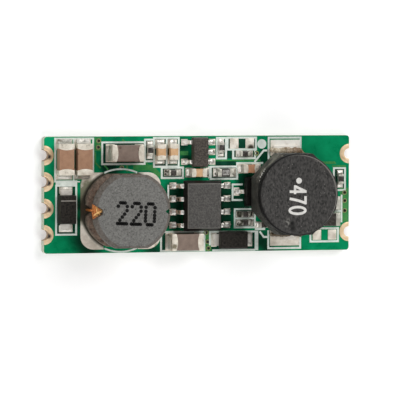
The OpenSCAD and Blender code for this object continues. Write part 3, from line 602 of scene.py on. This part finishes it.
# x, y, reach, cover
dull_spots = [(-3.3, 2.1, 0.9, 0.6), (3.9, -2.4, 1.1, 0.52), (5.4, -2.4, 0.9, 0.52), (2.35, 3.8, 0.6, 0.52),
              (1.55, 2.0, 0.6, 0.52), (3.95, -1.95, 0.5, 0.8), (4.65, 3.87, 0.6, 0.5)]


def dulled(material):
    """Burnt flux on the tin about the small chips."""
    for x, y, reach, cover in dull_spots:
        stain_or_painted_light(material, paint(62, 62, 50), x, y, BOARD_TOP, reach, reach + 0.3, 1800, cover)


dulled(dull_tin)
for name in ("sense_resistor_a", "sense_resistor_b", "middle_resistor"):
    rounded(name + "_body", 0.015, white_ceramic, "white_ceramic")
    rounded(name + "_ends", 0.02, dull_tin, "tinned_ends")
for letter in "abcdefgh":
    rounded("tiny_resistor_" + letter, 0.012, white_ceramic, "white_ceramic")
rounded("tiny_resistor_ends", 0.02, dull_tin, "tinned_ends")
rounded("resistor_coats", 0.015, glass_coat, "black_glass_coat")

# Value print on the middle resistor: three noughts in pale ink.
# It was fired on with the coat and has been rubbed thin.
NOUGHT_WIDE = 0.14
NOUGHT_STROKE = 0.07
NOUGHT_THICK = 0.01
nought_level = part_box("resistor_coats")[1].z - 0.002 * MM
noughts = [ribbon(rectangle(x, 1.86, x + NOUGHT_WIDE, 2.24), NOUGHT_STROKE, NOUGHT_THICK, nought_level,
                  closed=True) for x in (2.35, 2.58, 2.81)]
worn_ink = surface("worn_ink", paint(150, 148, 144), paint(190, 188, 182), 3000, (0.5, 0.65), 0.002,
                   stain=paint(90, 88, 86), stain_scale=2600, stain_cover=0.45)
finished(join(noughts, "resistor_value_print"), worn_ink, "white_ceramic")

# Driver, regulator and transistor: cases moulded round a lead frame, black filled epoxy with a fine
# spark-eroded texture. The tinned leads are bent down and out, and stand in the solder.
driver_epoxy = surface("driver_epoxy", paint(55, 53, 52), paint(94, 92, 88), 6400, (0.42, 0.58), 0.004,
                       gloss=0.3, stain=paint(78, 74, 68), stain_scale=900, stain_cover=0.4)
driver_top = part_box("driver_body")[1].z


def below(material, top, depth):
    """Mask that grows from none at a height to full at a depth under it, or over it if negative."""
    tree = material.node_tree
    place = tree.nodes.new("ShaderNodeTexCoord")
    split = tree.nodes.new("ShaderNodeSeparateXYZ")
    fade = tree.nodes.new("ShaderNodeMapRange")
    fade.interpolation_type = "SMOOTHSTEP"
    fade.inputs["From Min"].default_value = top
    fade.inputs["From Max"].default_value = top - depth
    tree.links.new(place.outputs["Object"], split.inputs[0])
    tree.links.new(split.outputs["Z"], fade.inputs["Value"])
    return fade.outputs["Result"]


# Painted highlight: a thin light line on the rounded top edge; below it, painted shade darkens the walls.
tinted(driver_epoxy, below(driver_epoxy, driver_top - 0.004 * MM, 0.012 * MM), paint(126, 124, 118))
tinted(driver_epoxy, below(driver_epoxy, driver_top - 0.05 * MM, 0.05 * MM), paint(20, 19, 18))
case_epoxy = surface("case_epoxy", paint(34, 31, 27), paint(92, 84, 76), 6400, (0.42, 0.58), 0.004, gloss=0.3)
# The transistor's black moulding is made darker still with painted shade, as it stands under the shield's
# overhang.
shaded_transistor_epoxy = surface("shaded_transistor_epoxy", paint(4, 4, 3), paint(30, 29, 26), 5200, (0.4, 0.55), 0.004,
                           gloss=0.15)
lead_tin = surface("lead_tin", paint(226, 222, 212), paint(252, 249, 242), 900, (0.24, 0.4), 0.006,
                   metallic=0.85, stain=paint(120, 112, 96), stain_scale=1100, stain_cover=0.36)
rounded("driver_body", 0.06, driver_epoxy, "black_moulding", segments=3)
rounded("regulator_body", 0.03, case_epoxy, "black_moulding", segments=3)
rounded("transistor_body", 0.03, shaded_transistor_epoxy, "black_moulding", segments=3)
lead_feet = [(-2.5, 0.9), (-2.5, -0.5), (-2.5, -1.8), (-2.5, -3.1), (2.7, 0.9), (2.7, -0.5), (2.7, -1.8),
             (2.7, -3.1), (4.4, 0.15)]


def fluxed(material, cover):
    """Brown flux left on the lead feet and on their solder."""
    for x, y in lead_feet:
        stain_or_painted_light(material, paint(46, 41, 32), x, y, BOARD_TOP, 0.8, 1.0, 2000, cover)


fluxed(lead_tin, 0.48)
# Painted shade on the transistor's lead next to its body, under the shield's overhang.
stain_or_painted_light(lead_tin, paint(104, 100, 90), 4.75, 0.2, BOARD_TOP + 0.5 * MM, 0.3, 0.5, 1500, 0.9)
for name in ("driver_leads", "regulator_leads", "transistor_leads"):
    rounded(name, 0.02, lead_tin, "tinned_leads")

# Diodes: moulded blocks, each with a flat tinned strip let into the underside at both ends.
# A thin pale line across the left one marks its cathode.
diode_epoxy = surface("diode_epoxy", paint(6, 5, 5), paint(54, 50, 45), 5200, (0.4, 0.55), 0.004, gloss=0.15)
strip_tin = surface("strip_tin", paint(206, 200, 186), paint(250, 246, 238), 900, (0.26, 0.42), 0.006,
                    metallic=0.4, stain=paint(104, 96, 80), stain_scale=1000, stain_cover=0.43)
for name in ("input_diode", "output_diode"):
    rounded(name + "_body", 0.03, diode_epoxy, "black_moulding", segments=3)
    rounded(name + "_leads", 0.02, strip_tin, "tinned_leads")
diode_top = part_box("input_diode_body")[1].z
band_ink = surface("band_ink", paint(120, 116, 108), paint(150, 146, 138), 2600, (0.5, 0.65), 0.002,
                   stain=paint(70, 66, 60), stain_scale=1800, stain_cover=0.36)
BAND_THICK = 0.012
band = plate([rectangle(-13.95, -0.56, -12.45, -0.46)], BAND_THICK, diode_top - 0.003 * MM)
band.name = "diode_band"
finished(band, band_ink, "white_ceramic")

# Filter inductor: an open ferrite bobbin, ground flat on top, standing on two plated end faces.
# The sintered core is grey with fine grain and small pits, and brown with old dust below its ground top;
# painted shade darkens it under the top flange and at its foot.
drum_low, drum_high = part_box("filter_inductor_core")
drum_x = (drum_low.x + drum_high.x) / 2
drum_y = (drum_low.y + drum_high.y) / 2
grey_ferrite = surface("grey_ferrite", paint(83, 82, 79), paint(130, 129, 125), 7200, (0.46, 0.64), 0.006,
                       gloss=0.3, spots=paint(70, 68, 65), spot_scale=5200, spot_share=0.12)
FLANGE_UNDER = BOARD_TOP + 3.56 * MM
DUST_LINE = BOARD_TOP + 2.0 * MM
FOOT_SHADE = BOARD_TOP + 0.42 * MM
ground_edge = place_group(grey_ferrite.node_tree, "grain", Dark=paint(80, 74, 68), Light=paint(120, 113, 106),
                          Scale=4400, Stretch=(1, 1, 0.6))
old_dust = place_group(grey_ferrite.node_tree, "grain", Dark=paint(66, 57, 50), Light=paint(142, 126, 111),
                       Scale=3000, Stretch=(1, 1, 0.6))
tinted(grey_ferrite, below(grey_ferrite, drum_high.z - 0.02 * MM, 0.03 * MM), ground_edge.outputs["Colour"])
# Painted shade: dark under the top flange, and near black at the foot.
tinted(grey_ferrite, below(grey_ferrite, FLANGE_UNDER, 0.06 * MM), paint(32, 28, 25))
tinted(grey_ferrite, below(grey_ferrite, DUST_LINE, 0.1 * MM), old_dust.outputs["Colour"])
tinted(grey_ferrite, below(grey_ferrite, FOOT_SHADE, 0.1 * MM), paint(20, 17, 15))
rounded("filter_inductor_core", 0.05, grey_ferrite, "grey_ferrite", segments=3, angle=30)
rounded("filter_inductor_terminals", 0.02, tinned_land, "tinned_ends")

# Its winding: enamelled copper wire, turns side by side between the flanges. The last turns bulge into the
# wide notch on the left, and both wire ends go out over the foot and down to the end faces.
copper_wire = surface("copper_wire", paint(190, 94, 34), paint(236, 154, 82), 1400, (0.2, 0.36), 0.004,
                      metallic=0.3, stain=paint(156, 68, 22), stain_scale=900, stain_cover=0.4)
# Painted light: the strands above the flange's underside, in the open notch, are brighter than the wire under
# it.
tinted(copper_wire, below(copper_wire, FLANGE_UNDER + 0.04 * MM, -0.1 * MM), paint(255, 198, 124))
coil_low, coil_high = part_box("filter_inductor_winding")
WIRE = 0.24 * MM
COIL_RADIUS = (coil_high.y - coil_low.y) / 2
COIL_TOP = coil_high.z
COIL_BOTTOM = drum_low.z + 0.8 * MM


def turn_of_wire(radius, height):
    """One closed turn of round wire about the drum's axis."""
    bpy.ops.object.select_all(action="DESELECT")
    bpy.ops.mesh.primitive_torus_add(major_radius=radius, minor_radius=WIRE / 2, major_segments=72,
                                     minor_segments=10, location=(drum_x, drum_y, height))
    return settle(bpy.context.view_layer.objects.active)


def wire(points, thick=WIRE):
    """Open round wire along points in metres."""
    curve = bpy.data.curves.new("wire", "CURVE")
    curve.dimensions = "3D"
    curve.bevel_depth = thick / 2
    curve.bevel_resolution = 2
    curve.use_fill_caps = True
    spline = curve.splines.new("POLY")
    spline.points.add(len(points) - 1)
    for point, place in zip(spline.points, points):
        point.co = (*place, 1)
    return as_mesh(curve, "wire")


turns = int((COIL_TOP - COIL_BOTTOM) / WIRE)
pitch = (COIL_TOP - COIL_BOTTOM) / turns
coil = [turn_of_wire(COIL_RADIUS - WIRE / 2, COIL_BOTTOM + (i + 0.5) * pitch) for i in range(turns)]
coil += [turn_of_wire(COIL_RADIUS - WIRE / 2 - WIRE * layer, COIL_TOP - pitch / 2) for layer in range(1, 3)]
STRAND = 0.17 * MM
CURL = 0.12
DROOP = 0.3
# out from the axis, half length, height above the board, lean
strands = [(2.9, 0.2, 3.98, 0.04), (3.14, 0.34, 3.92, -0.05), (3.38, 0.5, 3.82, 0.03)]
for out, reach, height, lean in strands:
    bowed = []
    for i in range(13):
        share = i / 6 - 1
        bowed.append((drum_x - (out + lean * share - CURL * share ** 4) * MM, drum_y + reach * share * MM,
                      BOARD_TOP + (height - DROOP * share ** 4) * MM))
    coil.append(wire(bowed, STRAND))
crossing = [(2.9, 0.12, 3.7), (3.05, 0.08, 4.08), (3.3, -0.06, 4.02), (3.55, -0.28, 3.7), (3.6, -0.4, 3.3)]
coil.append(wire([(drum_x - x * MM, drum_y + y * MM, BOARD_TOP + z * MM) for x, y, z in crossing]))
wire_end = [(COIL_RADIUS - 1.2 * WIRE, 1.5), (COIL_RADIUS, 1.42), (3.36 * MM, 1.3), (3.44 * MM, 1.1),
            (3.46 * MM, 0.85), (3.46 * MM, 0.5), (3.46 * MM, 0.17)]
for side in (-1, 1):
    coil.append(wire([(drum_x + side * x, drum_y + 0.04 * MM, BOARD_TOP + z * MM) for x, z in wire_end]))
finished(join(coil, "drum_winding"), copper_wire, "enamelled_copper", "filter_inductor_winding")

# Value print on the drum: black ink dots in a five by seven pattern, jetted on the top face.
# The drum passed the ink head a little askew and not quite evenly, so the rows differ in distance.
DIGIT_ROWS = {
    "2": [".###.", "#...#", "....#", "...#.", "..#..", ".#...", "#####"],
    "0": [".###.", "#...#", "#...#", "#...#", "#...#", "#...#", ".###."],
}
DOT_ACROSS = 0.22
DOT_ROWS = (0.82, 0.49, 0.1, -0.24, -0.53, -0.83, -1.16)
DOT_RADIUS = 0.185
DOT_THICK = 0.012
ASKEW = -2.8
dots = []
for glyph, left in (("2", -1.51), ("2", -0.135), ("0", 1.23)):
    for height, cells in zip(DOT_ROWS, DIGIT_ROWS[glyph]):
        for column, cell in enumerate(cells):
            if cell == "#":
                dots.append((left + DOT_ACROSS * column, height))
tilt = Matrix.Rotation(math.radians(ASKEW), 2)
bpy.ops.object.select_all(action="DESELECT")
bpy.ops.mesh.primitive_cylinder_add(vertices=16, radius=DOT_RADIUS * MM, depth=DOT_THICK * MM)
dot = soften(settle(bpy.context.view_layer.objects.active), 0.004, segments=1)
marks = []
for x, y in dots:
    mark = dot.copy()
    mark.data = dot.data.copy()
    bpy.context.scene.collection.objects.link(mark)
    spot = tilt @ Vector((x * MM, y * MM))
    mark.location = (drum_x + spot.x, drum_y + spot.y, drum_high.z - 0.005 * MM)
    marks.append(settle(mark))
bpy.data.objects.remove(dot)
black_ink = surface("black_ink", paint(6, 6, 6), paint(18, 18, 17), 2600, (0.5, 0.65), 0.003, gloss=0.15)
finished(join(marks, "drum_value_print"), black_ink, "black_moulding")

# Output inductor: a dark ferrite drum with a wide round top, glued into an eight-sided shield ring.
# The ring's sawn edges are chipped, and the round top is dull and finely pitted, with a pale scratch and a
# dent near its lower edge, the dent drawn as painted shade.
disc_low, disc_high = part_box("output_inductor_core")
disc_x = (disc_low.x + disc_high.x) / 2
disc_y = (disc_low.y + disc_high.y) / 2
rim = (disc_high.x - disc_low.x) / 2 / MM
dark_ferrite = surface("dark_ferrite", paint(24, 24, 23), paint(80, 78, 76), 5800, (0.5, 0.68), 0.008,
                       gloss=0.2, stretch=(1, 0.55, 1), stain=paint(46, 45, 43), stain_scale=500,
                       stain_cover=0.36, spots=paint(98, 96, 93), spot_scale=5200, spot_share=0.05)
stain_or_painted_light(dark_ferrite, paint(128, 126, 121), 7.66, -2.65, disc_high.z, 0.1, 0.55, 2600)
# Painted shade for the dent: two dark spots on the round top.
stain_or_painted_light(dark_ferrite, paint(12, 12, 10), 8.08, -2.7, disc_high.z, 0.1, 0.4, 1800, 0.75)
stain_or_painted_light(dark_ferrite, paint(20, 20, 18), 8.14, -3.2, disc_high.z, 0.1, 0.4, 1800, 0.6)
# Here the radii fall, so the tint lies outside them: a painted highlight along the upper right of the rim,
# then painted shade on the turned edge
stain_or_painted_light(dark_ferrite, paint(112, 109, 104), disc_x / MM - 0.16, disc_y / MM - 0.08, disc_high.z,
        rim - 0.06, rim - 0.12, cover=0.7)
stain_or_painted_light(dark_ferrite, paint(24, 23, 22), disc_x / MM, disc_y / MM, disc_high.z,
        rim - 0.1, rim - 0.14, cover=1.0)
# Painted shade: the side wall under the round top is darkened.
tinted(dark_ferrite, below(dark_ferrite, disc_high.z - 0.06 * MM, 0.07 * MM), paint(16, 15, 14))
shield_ferrite = surface("shield_ferrite", paint(40, 40, 36), paint(68, 67, 61), 2600, (0.5, 0.7), 0.012,
                         gloss=0.3, stretch=(1, 1, 0.4), spots=paint(118, 115, 104), spot_scale=2600,
                         spot_share=0.04)
# Painted light: the ring's upper left face is lightened.
stain_or_painted_light(shield_ferrite, paint(120, 117, 105), 5.9, 2.9, BOARD_TOP + 2.6 * MM, 1.2, 2.4, 500)
# The tops are ground off by this much, which leaves room for the print under the solid's own height
GROUND_OFF = 0.006 * MM


def chips(places, low, high):
    """Cutter for broken edges: small rough lumps at the given places, sizes in mm."""
    lumps = []
    for place in places:
        bpy.ops.object.select_all(action="DESELECT")
        size = chance.uniform(low, high) * MM
        bpy.ops.mesh.primitive_ico_sphere_add(subdivisions=1, radius=size, location=place,
                                              rotation=(chance.uniform(0, 3), chance.uniform(0, 3), 0))
        lump = bpy.context.view_layer.objects.active
        lump.scale = (chance.uniform(0.8, 1.6), chance.uniform(0.8, 1.6), chance.uniform(0.6, 1.2))
        lumps.append(settle(lump))
    return join(lumps, "chips")


def chipped(node, radius, material, slot, places, low, high):
    """A solid with softened and broken edges, in the solid's place."""
    piece = soften(cad_copy(node, "shown_" + node), radius, segments=3, angle=30)
    top = max(point.co.z for point in piece.data.vertices)
    for point in piece.data.vertices:
        point.co.z = min(point.co.z, top - GROUND_OFF)
    cutter = chips(places, low, high)
    apply(piece, "BOOLEAN", operation="DIFFERENCE", object=cutter, solver="EXACT", use_self=True)
    bpy.data.objects.remove(cutter)
    only(piece)
    bpy.ops.object.shade_smooth_by_angle(angle=math.radians(40))
    finished(piece, material, slot, node)


chance = random.Random(7)
SIDES = 8
CHIPS_A_SIDE = 5
TOP_SHARE = 0.7
RIM_UNDER = disc_high.z - 0.72 * MM
shield_low, shield_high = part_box("output_inductor_shield")
half_side = math.pi / SIDES
corner_out = (shield_high.x - shield_low.x) / 2 / math.cos(half_side)
shield_corners = [Vector((disc_x + corner_out * math.cos((2 * k + 1) * half_side),
                          disc_y + corner_out * math.sin((2 * k + 1) * half_side))) for k in range(SIDES)]
ring_chips = []
for k in range(SIDES):
    for _ in range(CHIPS_A_SIDE):
        spot = shield_corners[k].lerp(shield_corners[(k + 1) % SIDES], chance.random())
        ring_chips.append((spot.x, spot.y, shield_high.z if chance.random() < TOP_SHARE else shield_low.z))
chipped("output_inductor_shield", 0.05, shield_ferrite, "black_ferrite", ring_chips, 0.05, 0.13)
rim_chips = [(disc_x + rim * MM * math.cos(angle), disc_y + rim * MM * math.sin(angle), RIM_UNDER)
             for angle in (2.75, 2.9, 3.6, 4.4, 5.3, 0.4, 1.2)]
chipped("output_inductor_core", 0.05, dark_ferrite, "black_ferrite", rim_chips, 0.06, 0.12)
rounded("output_inductor_terminals", 0.02, tinned_land, "tinned_ends")
rounded("output_inductor_winding", 0.03, copper_wire, "enamelled_copper")

# Value print on the round top: white ink pressed on with a soft pad.
# A dot marks the start of the winding, and three digits are read from the right.
PRINT_WIDE = 0.25
PRINT_THICK = 0.012
PRINT_LEVEL = disc_high.z - PRINT_THICK / 2 * MM
PRINT_STEP = 0.0006 * MM


def ellipse(cx, cy, long, short, steps=48):
    """Points of a closed ellipse, its half lengths in mm."""
    turn = [2 * math.pi * i / steps for i in range(steps)]
    return [(cx + long * math.cos(a), cy + short * math.sin(a)) for a in turn]


# Strokes of the first two digits; the third is an ellipse
digit_lines = [
    [(7.82, 0.34), (9.53, 0.34)],
    [(9.42, 0.37), (8.37, 0.85)],
    [(8.37, 0.95), (8.37, 0.1)],
    [(9.43, -0.1), (9.43, -0.88)],
    [(9.5, -0.8), (8.9, -0.58), (8.36, -0.44), (7.83, -0.33)],
]
digits = [ribbon(ellipse(8.63, -1.47, 0.79, 0.325), PRINT_WIDE, PRINT_THICK, PRINT_LEVEL, closed=True),
          plate([ellipse(8.765, 1.39, 0.285, 0.285)], PRINT_THICK, PRINT_LEVEL)]
for level, points in enumerate(digit_lines):
    digits.append(ribbon(points, PRINT_WIDE, PRINT_THICK, PRINT_LEVEL - level * PRINT_STEP))
disc_ink = surface("disc_ink", paint(202, 200, 195), paint(224, 222, 217), 2500, (0.5, 0.65), 0.004)
finished(join(digits, "disc_value_print"), disc_ink, "white_ceramic")

# Bonding resin: beige to brown drops that hold the shield to the terminals above and below, ragged and dull,
# with a few light flecks squeezed out under the round top on the left.
# Remesh and waves work at a thousand times the size, where the tools' numbers are in mm
GROW = 1 / MM


def drop(x, y, z, wide, long, high):
    """Rounded drop about a place in mm above the board, half sizes in mm."""
    bpy.ops.object.select_all(action="DESELECT")
    bpy.ops.mesh.primitive_ico_sphere_add(subdivisions=2, radius=MM,
                                          location=(x * MM, y * MM, BOARD_TOP + z * MM))
    piece = bpy.context.view_layer.objects.active
    piece.scale = (wide, long, high)
    return settle(piece)


def melt(piece, voxel, waves, wave_size, smooth):
    """Runs loose shapes together into one uneven skin; sizes in mm."""
    piece.scale = (GROW,) * 3
    settle(piece)
    apply(piece, "REMESH", mode="VOXEL", voxel_size=voxel, use_smooth_shade=True)
    texture = bpy.data.textures.new(piece.name, "CLOUDS")
    texture.noise_scale = wave_size
    apply(piece, "DISPLACE", texture=texture, texture_coords="LOCAL", strength=waves, mid_level=0.5)
    apply(piece, "SMOOTH", factor=0.5, iterations=smooth)
    piece.scale = (MM,) * 3
    return settle(piece)


resin = []
# first and last place, drops, narrowest and broadest half width
resin_runs = [((7.35, 4.2), (10.3, 4.12), 18, 0.24, 0.4), ((10.3, 4.05), (10.95, 3.6), 7, 0.12, 0.26),
              ((7.4, -4.02), (10.4, -4.02), 15, 0.12, 0.24)]
for first, last, count, narrow, broad in resin_runs:
    for i in range(count):
        spot = Vector(first).lerp(Vector(last), i / (count - 1))
        resin.append(drop(spot.x, spot.y, chance.uniform(0.05, 0.35), 0.22, chance.uniform(narrow, broad),
                          chance.uniform(0.2, 0.45)))
brown_resin = surface("brown_resin", paint(176, 160, 134), paint(226, 214, 192), 2200, (0.25, 0.45), 0.03,
                      stain=paint(128, 104, 76), stain_scale=1500, stain_cover=0.44,
                      spots=paint(52, 42, 28), spot_scale=2600, spot_share=0.16)
stain_or_painted_light(brown_resin, paint(138, 112, 86), 10.3, 4.1, BOARD_TOP, 0.6, 2.0, 900, 0.7)
stain_or_painted_light(brown_resin, paint(88, 74, 52), 8.9, -4.1, BOARD_TOP, 1.6, 2.2, 900, 0.7)
bead = melt(join(resin, "bonding_resin"), voxel=0.05, waves=0.16, wave_size=0.3, smooth=1)
finished(bead, brown_resin, "white_ceramic")
FLECK_HEIGHT = shield_high.z / MM - BOARD_TOP / MM + 0.02
flecks = []
for degrees in (143, 146, 149.5, 152, 155, 160):
    fleck_out = rim + chance.uniform(0.02, 0.12)
    fleck_x = disc_x / MM + fleck_out * math.cos(math.radians(degrees))
    fleck_y = disc_y / MM + fleck_out * math.sin(math.radians(degrees))
    flecks.append(drop(fleck_x, fleck_y, FLECK_HEIGHT, chance.uniform(0.05, 0.1),
                       chance.uniform(0.05, 0.11), 0.06))
pale_fleck = surface("pale_fleck", paint(188, 186, 178), paint(222, 220, 212), 2600, (0.4, 0.6), 0.01)
crumbs = melt(join(flecks, "resin_flecks"), voxel=0.02, waves=0.05, wave_size=0.08, smooth=1)
finished(crumbs, pale_fleck, "white_ceramic")

# Solder: tin alloy run up the ends of the chips and round the lead feet in the reflow oven.
# It sets as bright uneven fillets with a little brown flux left on them.
FILLET_IN = 0.16
FILLET_HEIGHT = 0.06
FILLET_HALF = (0.38, 0.27, 0.13)
fillets = [cad_copy("solder_joints", "solder_fillets")]
# leads, distance from lead to lead, places on the left and on the right in steps of it
lead_rows = [
    ("driver_leads", 1.27, (-1.5, -0.5, 0.5, 1.5), (-1.5, -0.5, 0.5, 1.5)),
    ("regulator_leads", 0.95, (-1, 1), (-1, 0, 1)),
    ("transistor_leads", 0.95, (0,), (-1, 1)),
]
for node, row_pitch, left_rows, right_rows in lead_rows:
    low, high = (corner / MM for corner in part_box(node))
    middle = (low.y + high.y) / 2
    for tip, inward, rows in ((low.x, 1, left_rows), (high.x, -1, right_rows)):
        for row in rows:
            y = middle + row * row_pitch
            fillets.append(drop(tip + inward * FILLET_IN, y, FILLET_HEIGHT, *FILLET_HALF))
bright_solder = surface("bright_solder", paint(204, 200, 190), paint(238, 234, 226), 1200, (0.34, 0.5), 0.006,
                        metallic=0.8, stain=paint(112, 106, 88), stain_scale=900, stain_cover=0.46)
fluxed(bright_solder, 0.5)
dulled(bright_solder)
solder = join(fillets[::-1], "solder_fillets")
melt(solder, voxel=0.035, waves=0.08, wave_size=0.4, smooth=3)
finished(solder, bright_solder, "solder", "solder_joints")

# Stage: a pale matt floor under the board.
# A little glow, for the camera and mirrored rays alone, lifts it to white and leaves the shadow in it.
FLOOR_GLOW = 0.3
floor_paint = bpy.data.materials.new("floor_paint")
floor_paint.use_nodes = True
floor_tree = floor_paint.node_tree
floor_tree.nodes.remove(floor_tree.nodes["Principled BSDF"])
matt = floor_tree.nodes.new("ShaderNodeBsdfDiffuse")
matt.inputs["Color"].default_value = (0.8, 0.8, 0.8, 1)
glow = floor_tree.nodes.new("ShaderNodeEmission")
rays = floor_tree.nodes.new("ShaderNodeLightPath")
seen = maths(floor_tree, "MAXIMUM")
seen_through = maths(floor_tree, "MAXIMUM")
lift = maths(floor_tree, "MULTIPLY")
lift.inputs[1].default_value = FLOOR_GLOW
matt_and_glow = floor_tree.nodes.new("ShaderNodeAddShader")
floor_tree.links.new(rays.outputs["Is Camera Ray"], seen.inputs[0])
floor_tree.links.new(rays.outputs["Is Glossy Ray"], seen.inputs[1])
floor_tree.links.new(seen.outputs[0], seen_through.inputs[0])
floor_tree.links.new(rays.outputs["Is Transmission Ray"], seen_through.inputs[1])
floor_tree.links.new(seen_through.outputs[0], lift.inputs[0])
floor_tree.links.new(lift.outputs[0], glow.inputs["Strength"])
floor_tree.links.new(matt.outputs[0], matt_and_glow.inputs[0])
floor_tree.links.new(glow.outputs[0], matt_and_glow.inputs[1])
floor_tree.links.new(matt_and_glow.outputs[0], floor_tree.nodes["Material Output"].inputs["Surface"])
bpy.ops.object.select_all(action="DESELECT")
bpy.ops.mesh.primitive_plane_add(size=6, location=(0, 0, cad_box[0].z))
floor = bpy.context.view_layer.objects.active
floor.name = "floor"
floor.data.materials.append(floor_paint)

# Light: low even room light and three wide soft lamps about the board.
# The strongest stands high on the right and behind, one in front, and the weakest on the left.
LAMP_WIDE = 0.3
room = bpy.data.worlds.new("room")
bpy.context.scene.world = room
room.use_nodes = True
room.node_tree.nodes["Background"].inputs["Color"].default_value = (1, 1, 1, 1)
room.node_tree.nodes["Background"].inputs["Strength"].default_value = 0.15


def lamp(name, place, power):
    """Square soft lamp that faces the middle of the board."""
    light = bpy.data.lights.new(name, "AREA")
    light.energy = power
    light.size = LAMP_WIDE
    holder = bpy.data.objects.new(name, light)
    bpy.context.scene.collection.objects.link(holder)
    holder.location = place
    holder.rotation_euler = (-Vector(place)).to_track_quat("-Z", "Y").to_euler()


lamp("right_lamp", (0.24, 0.24, 0.32), 1.35)
lamp("front_lamp", (0.06, -0.3, 0.34), 0.8)
lamp("left_lamp", (-0.3, 0.0, 0.32), 0.65)

# Camera: a long lens that looks down on the board, a little from the left, as for a catalogue picture.
# Its place and turn, in metres and radians, are fitted to the board's four corners.
YAW, PITCH, ROLL = 0.2840, 0.0460, -0.0035
EYE_PLACE = (-0.11194, 0.01783, 0.38519)
eye = bpy.data.cameras.new("camera")
eye.lens = 372.8
eye.sensor_width = 36
eye_holder = bpy.data.objects.new("camera", eye)
bpy.context.scene.collection.objects.link(eye_holder)
turn = Matrix.Rotation(-YAW, 4, "Y") @ Matrix.Rotation(-PITCH, 4, "X") @ Matrix.Rotation(-ROLL, 4, "Z")
eye_holder.matrix_world = Matrix.Translation(EYE_PLACE) @ turn
bpy.context.scene.camera = eye_holder
bpy.context.scene.view_settings.view_transform = "Standard"
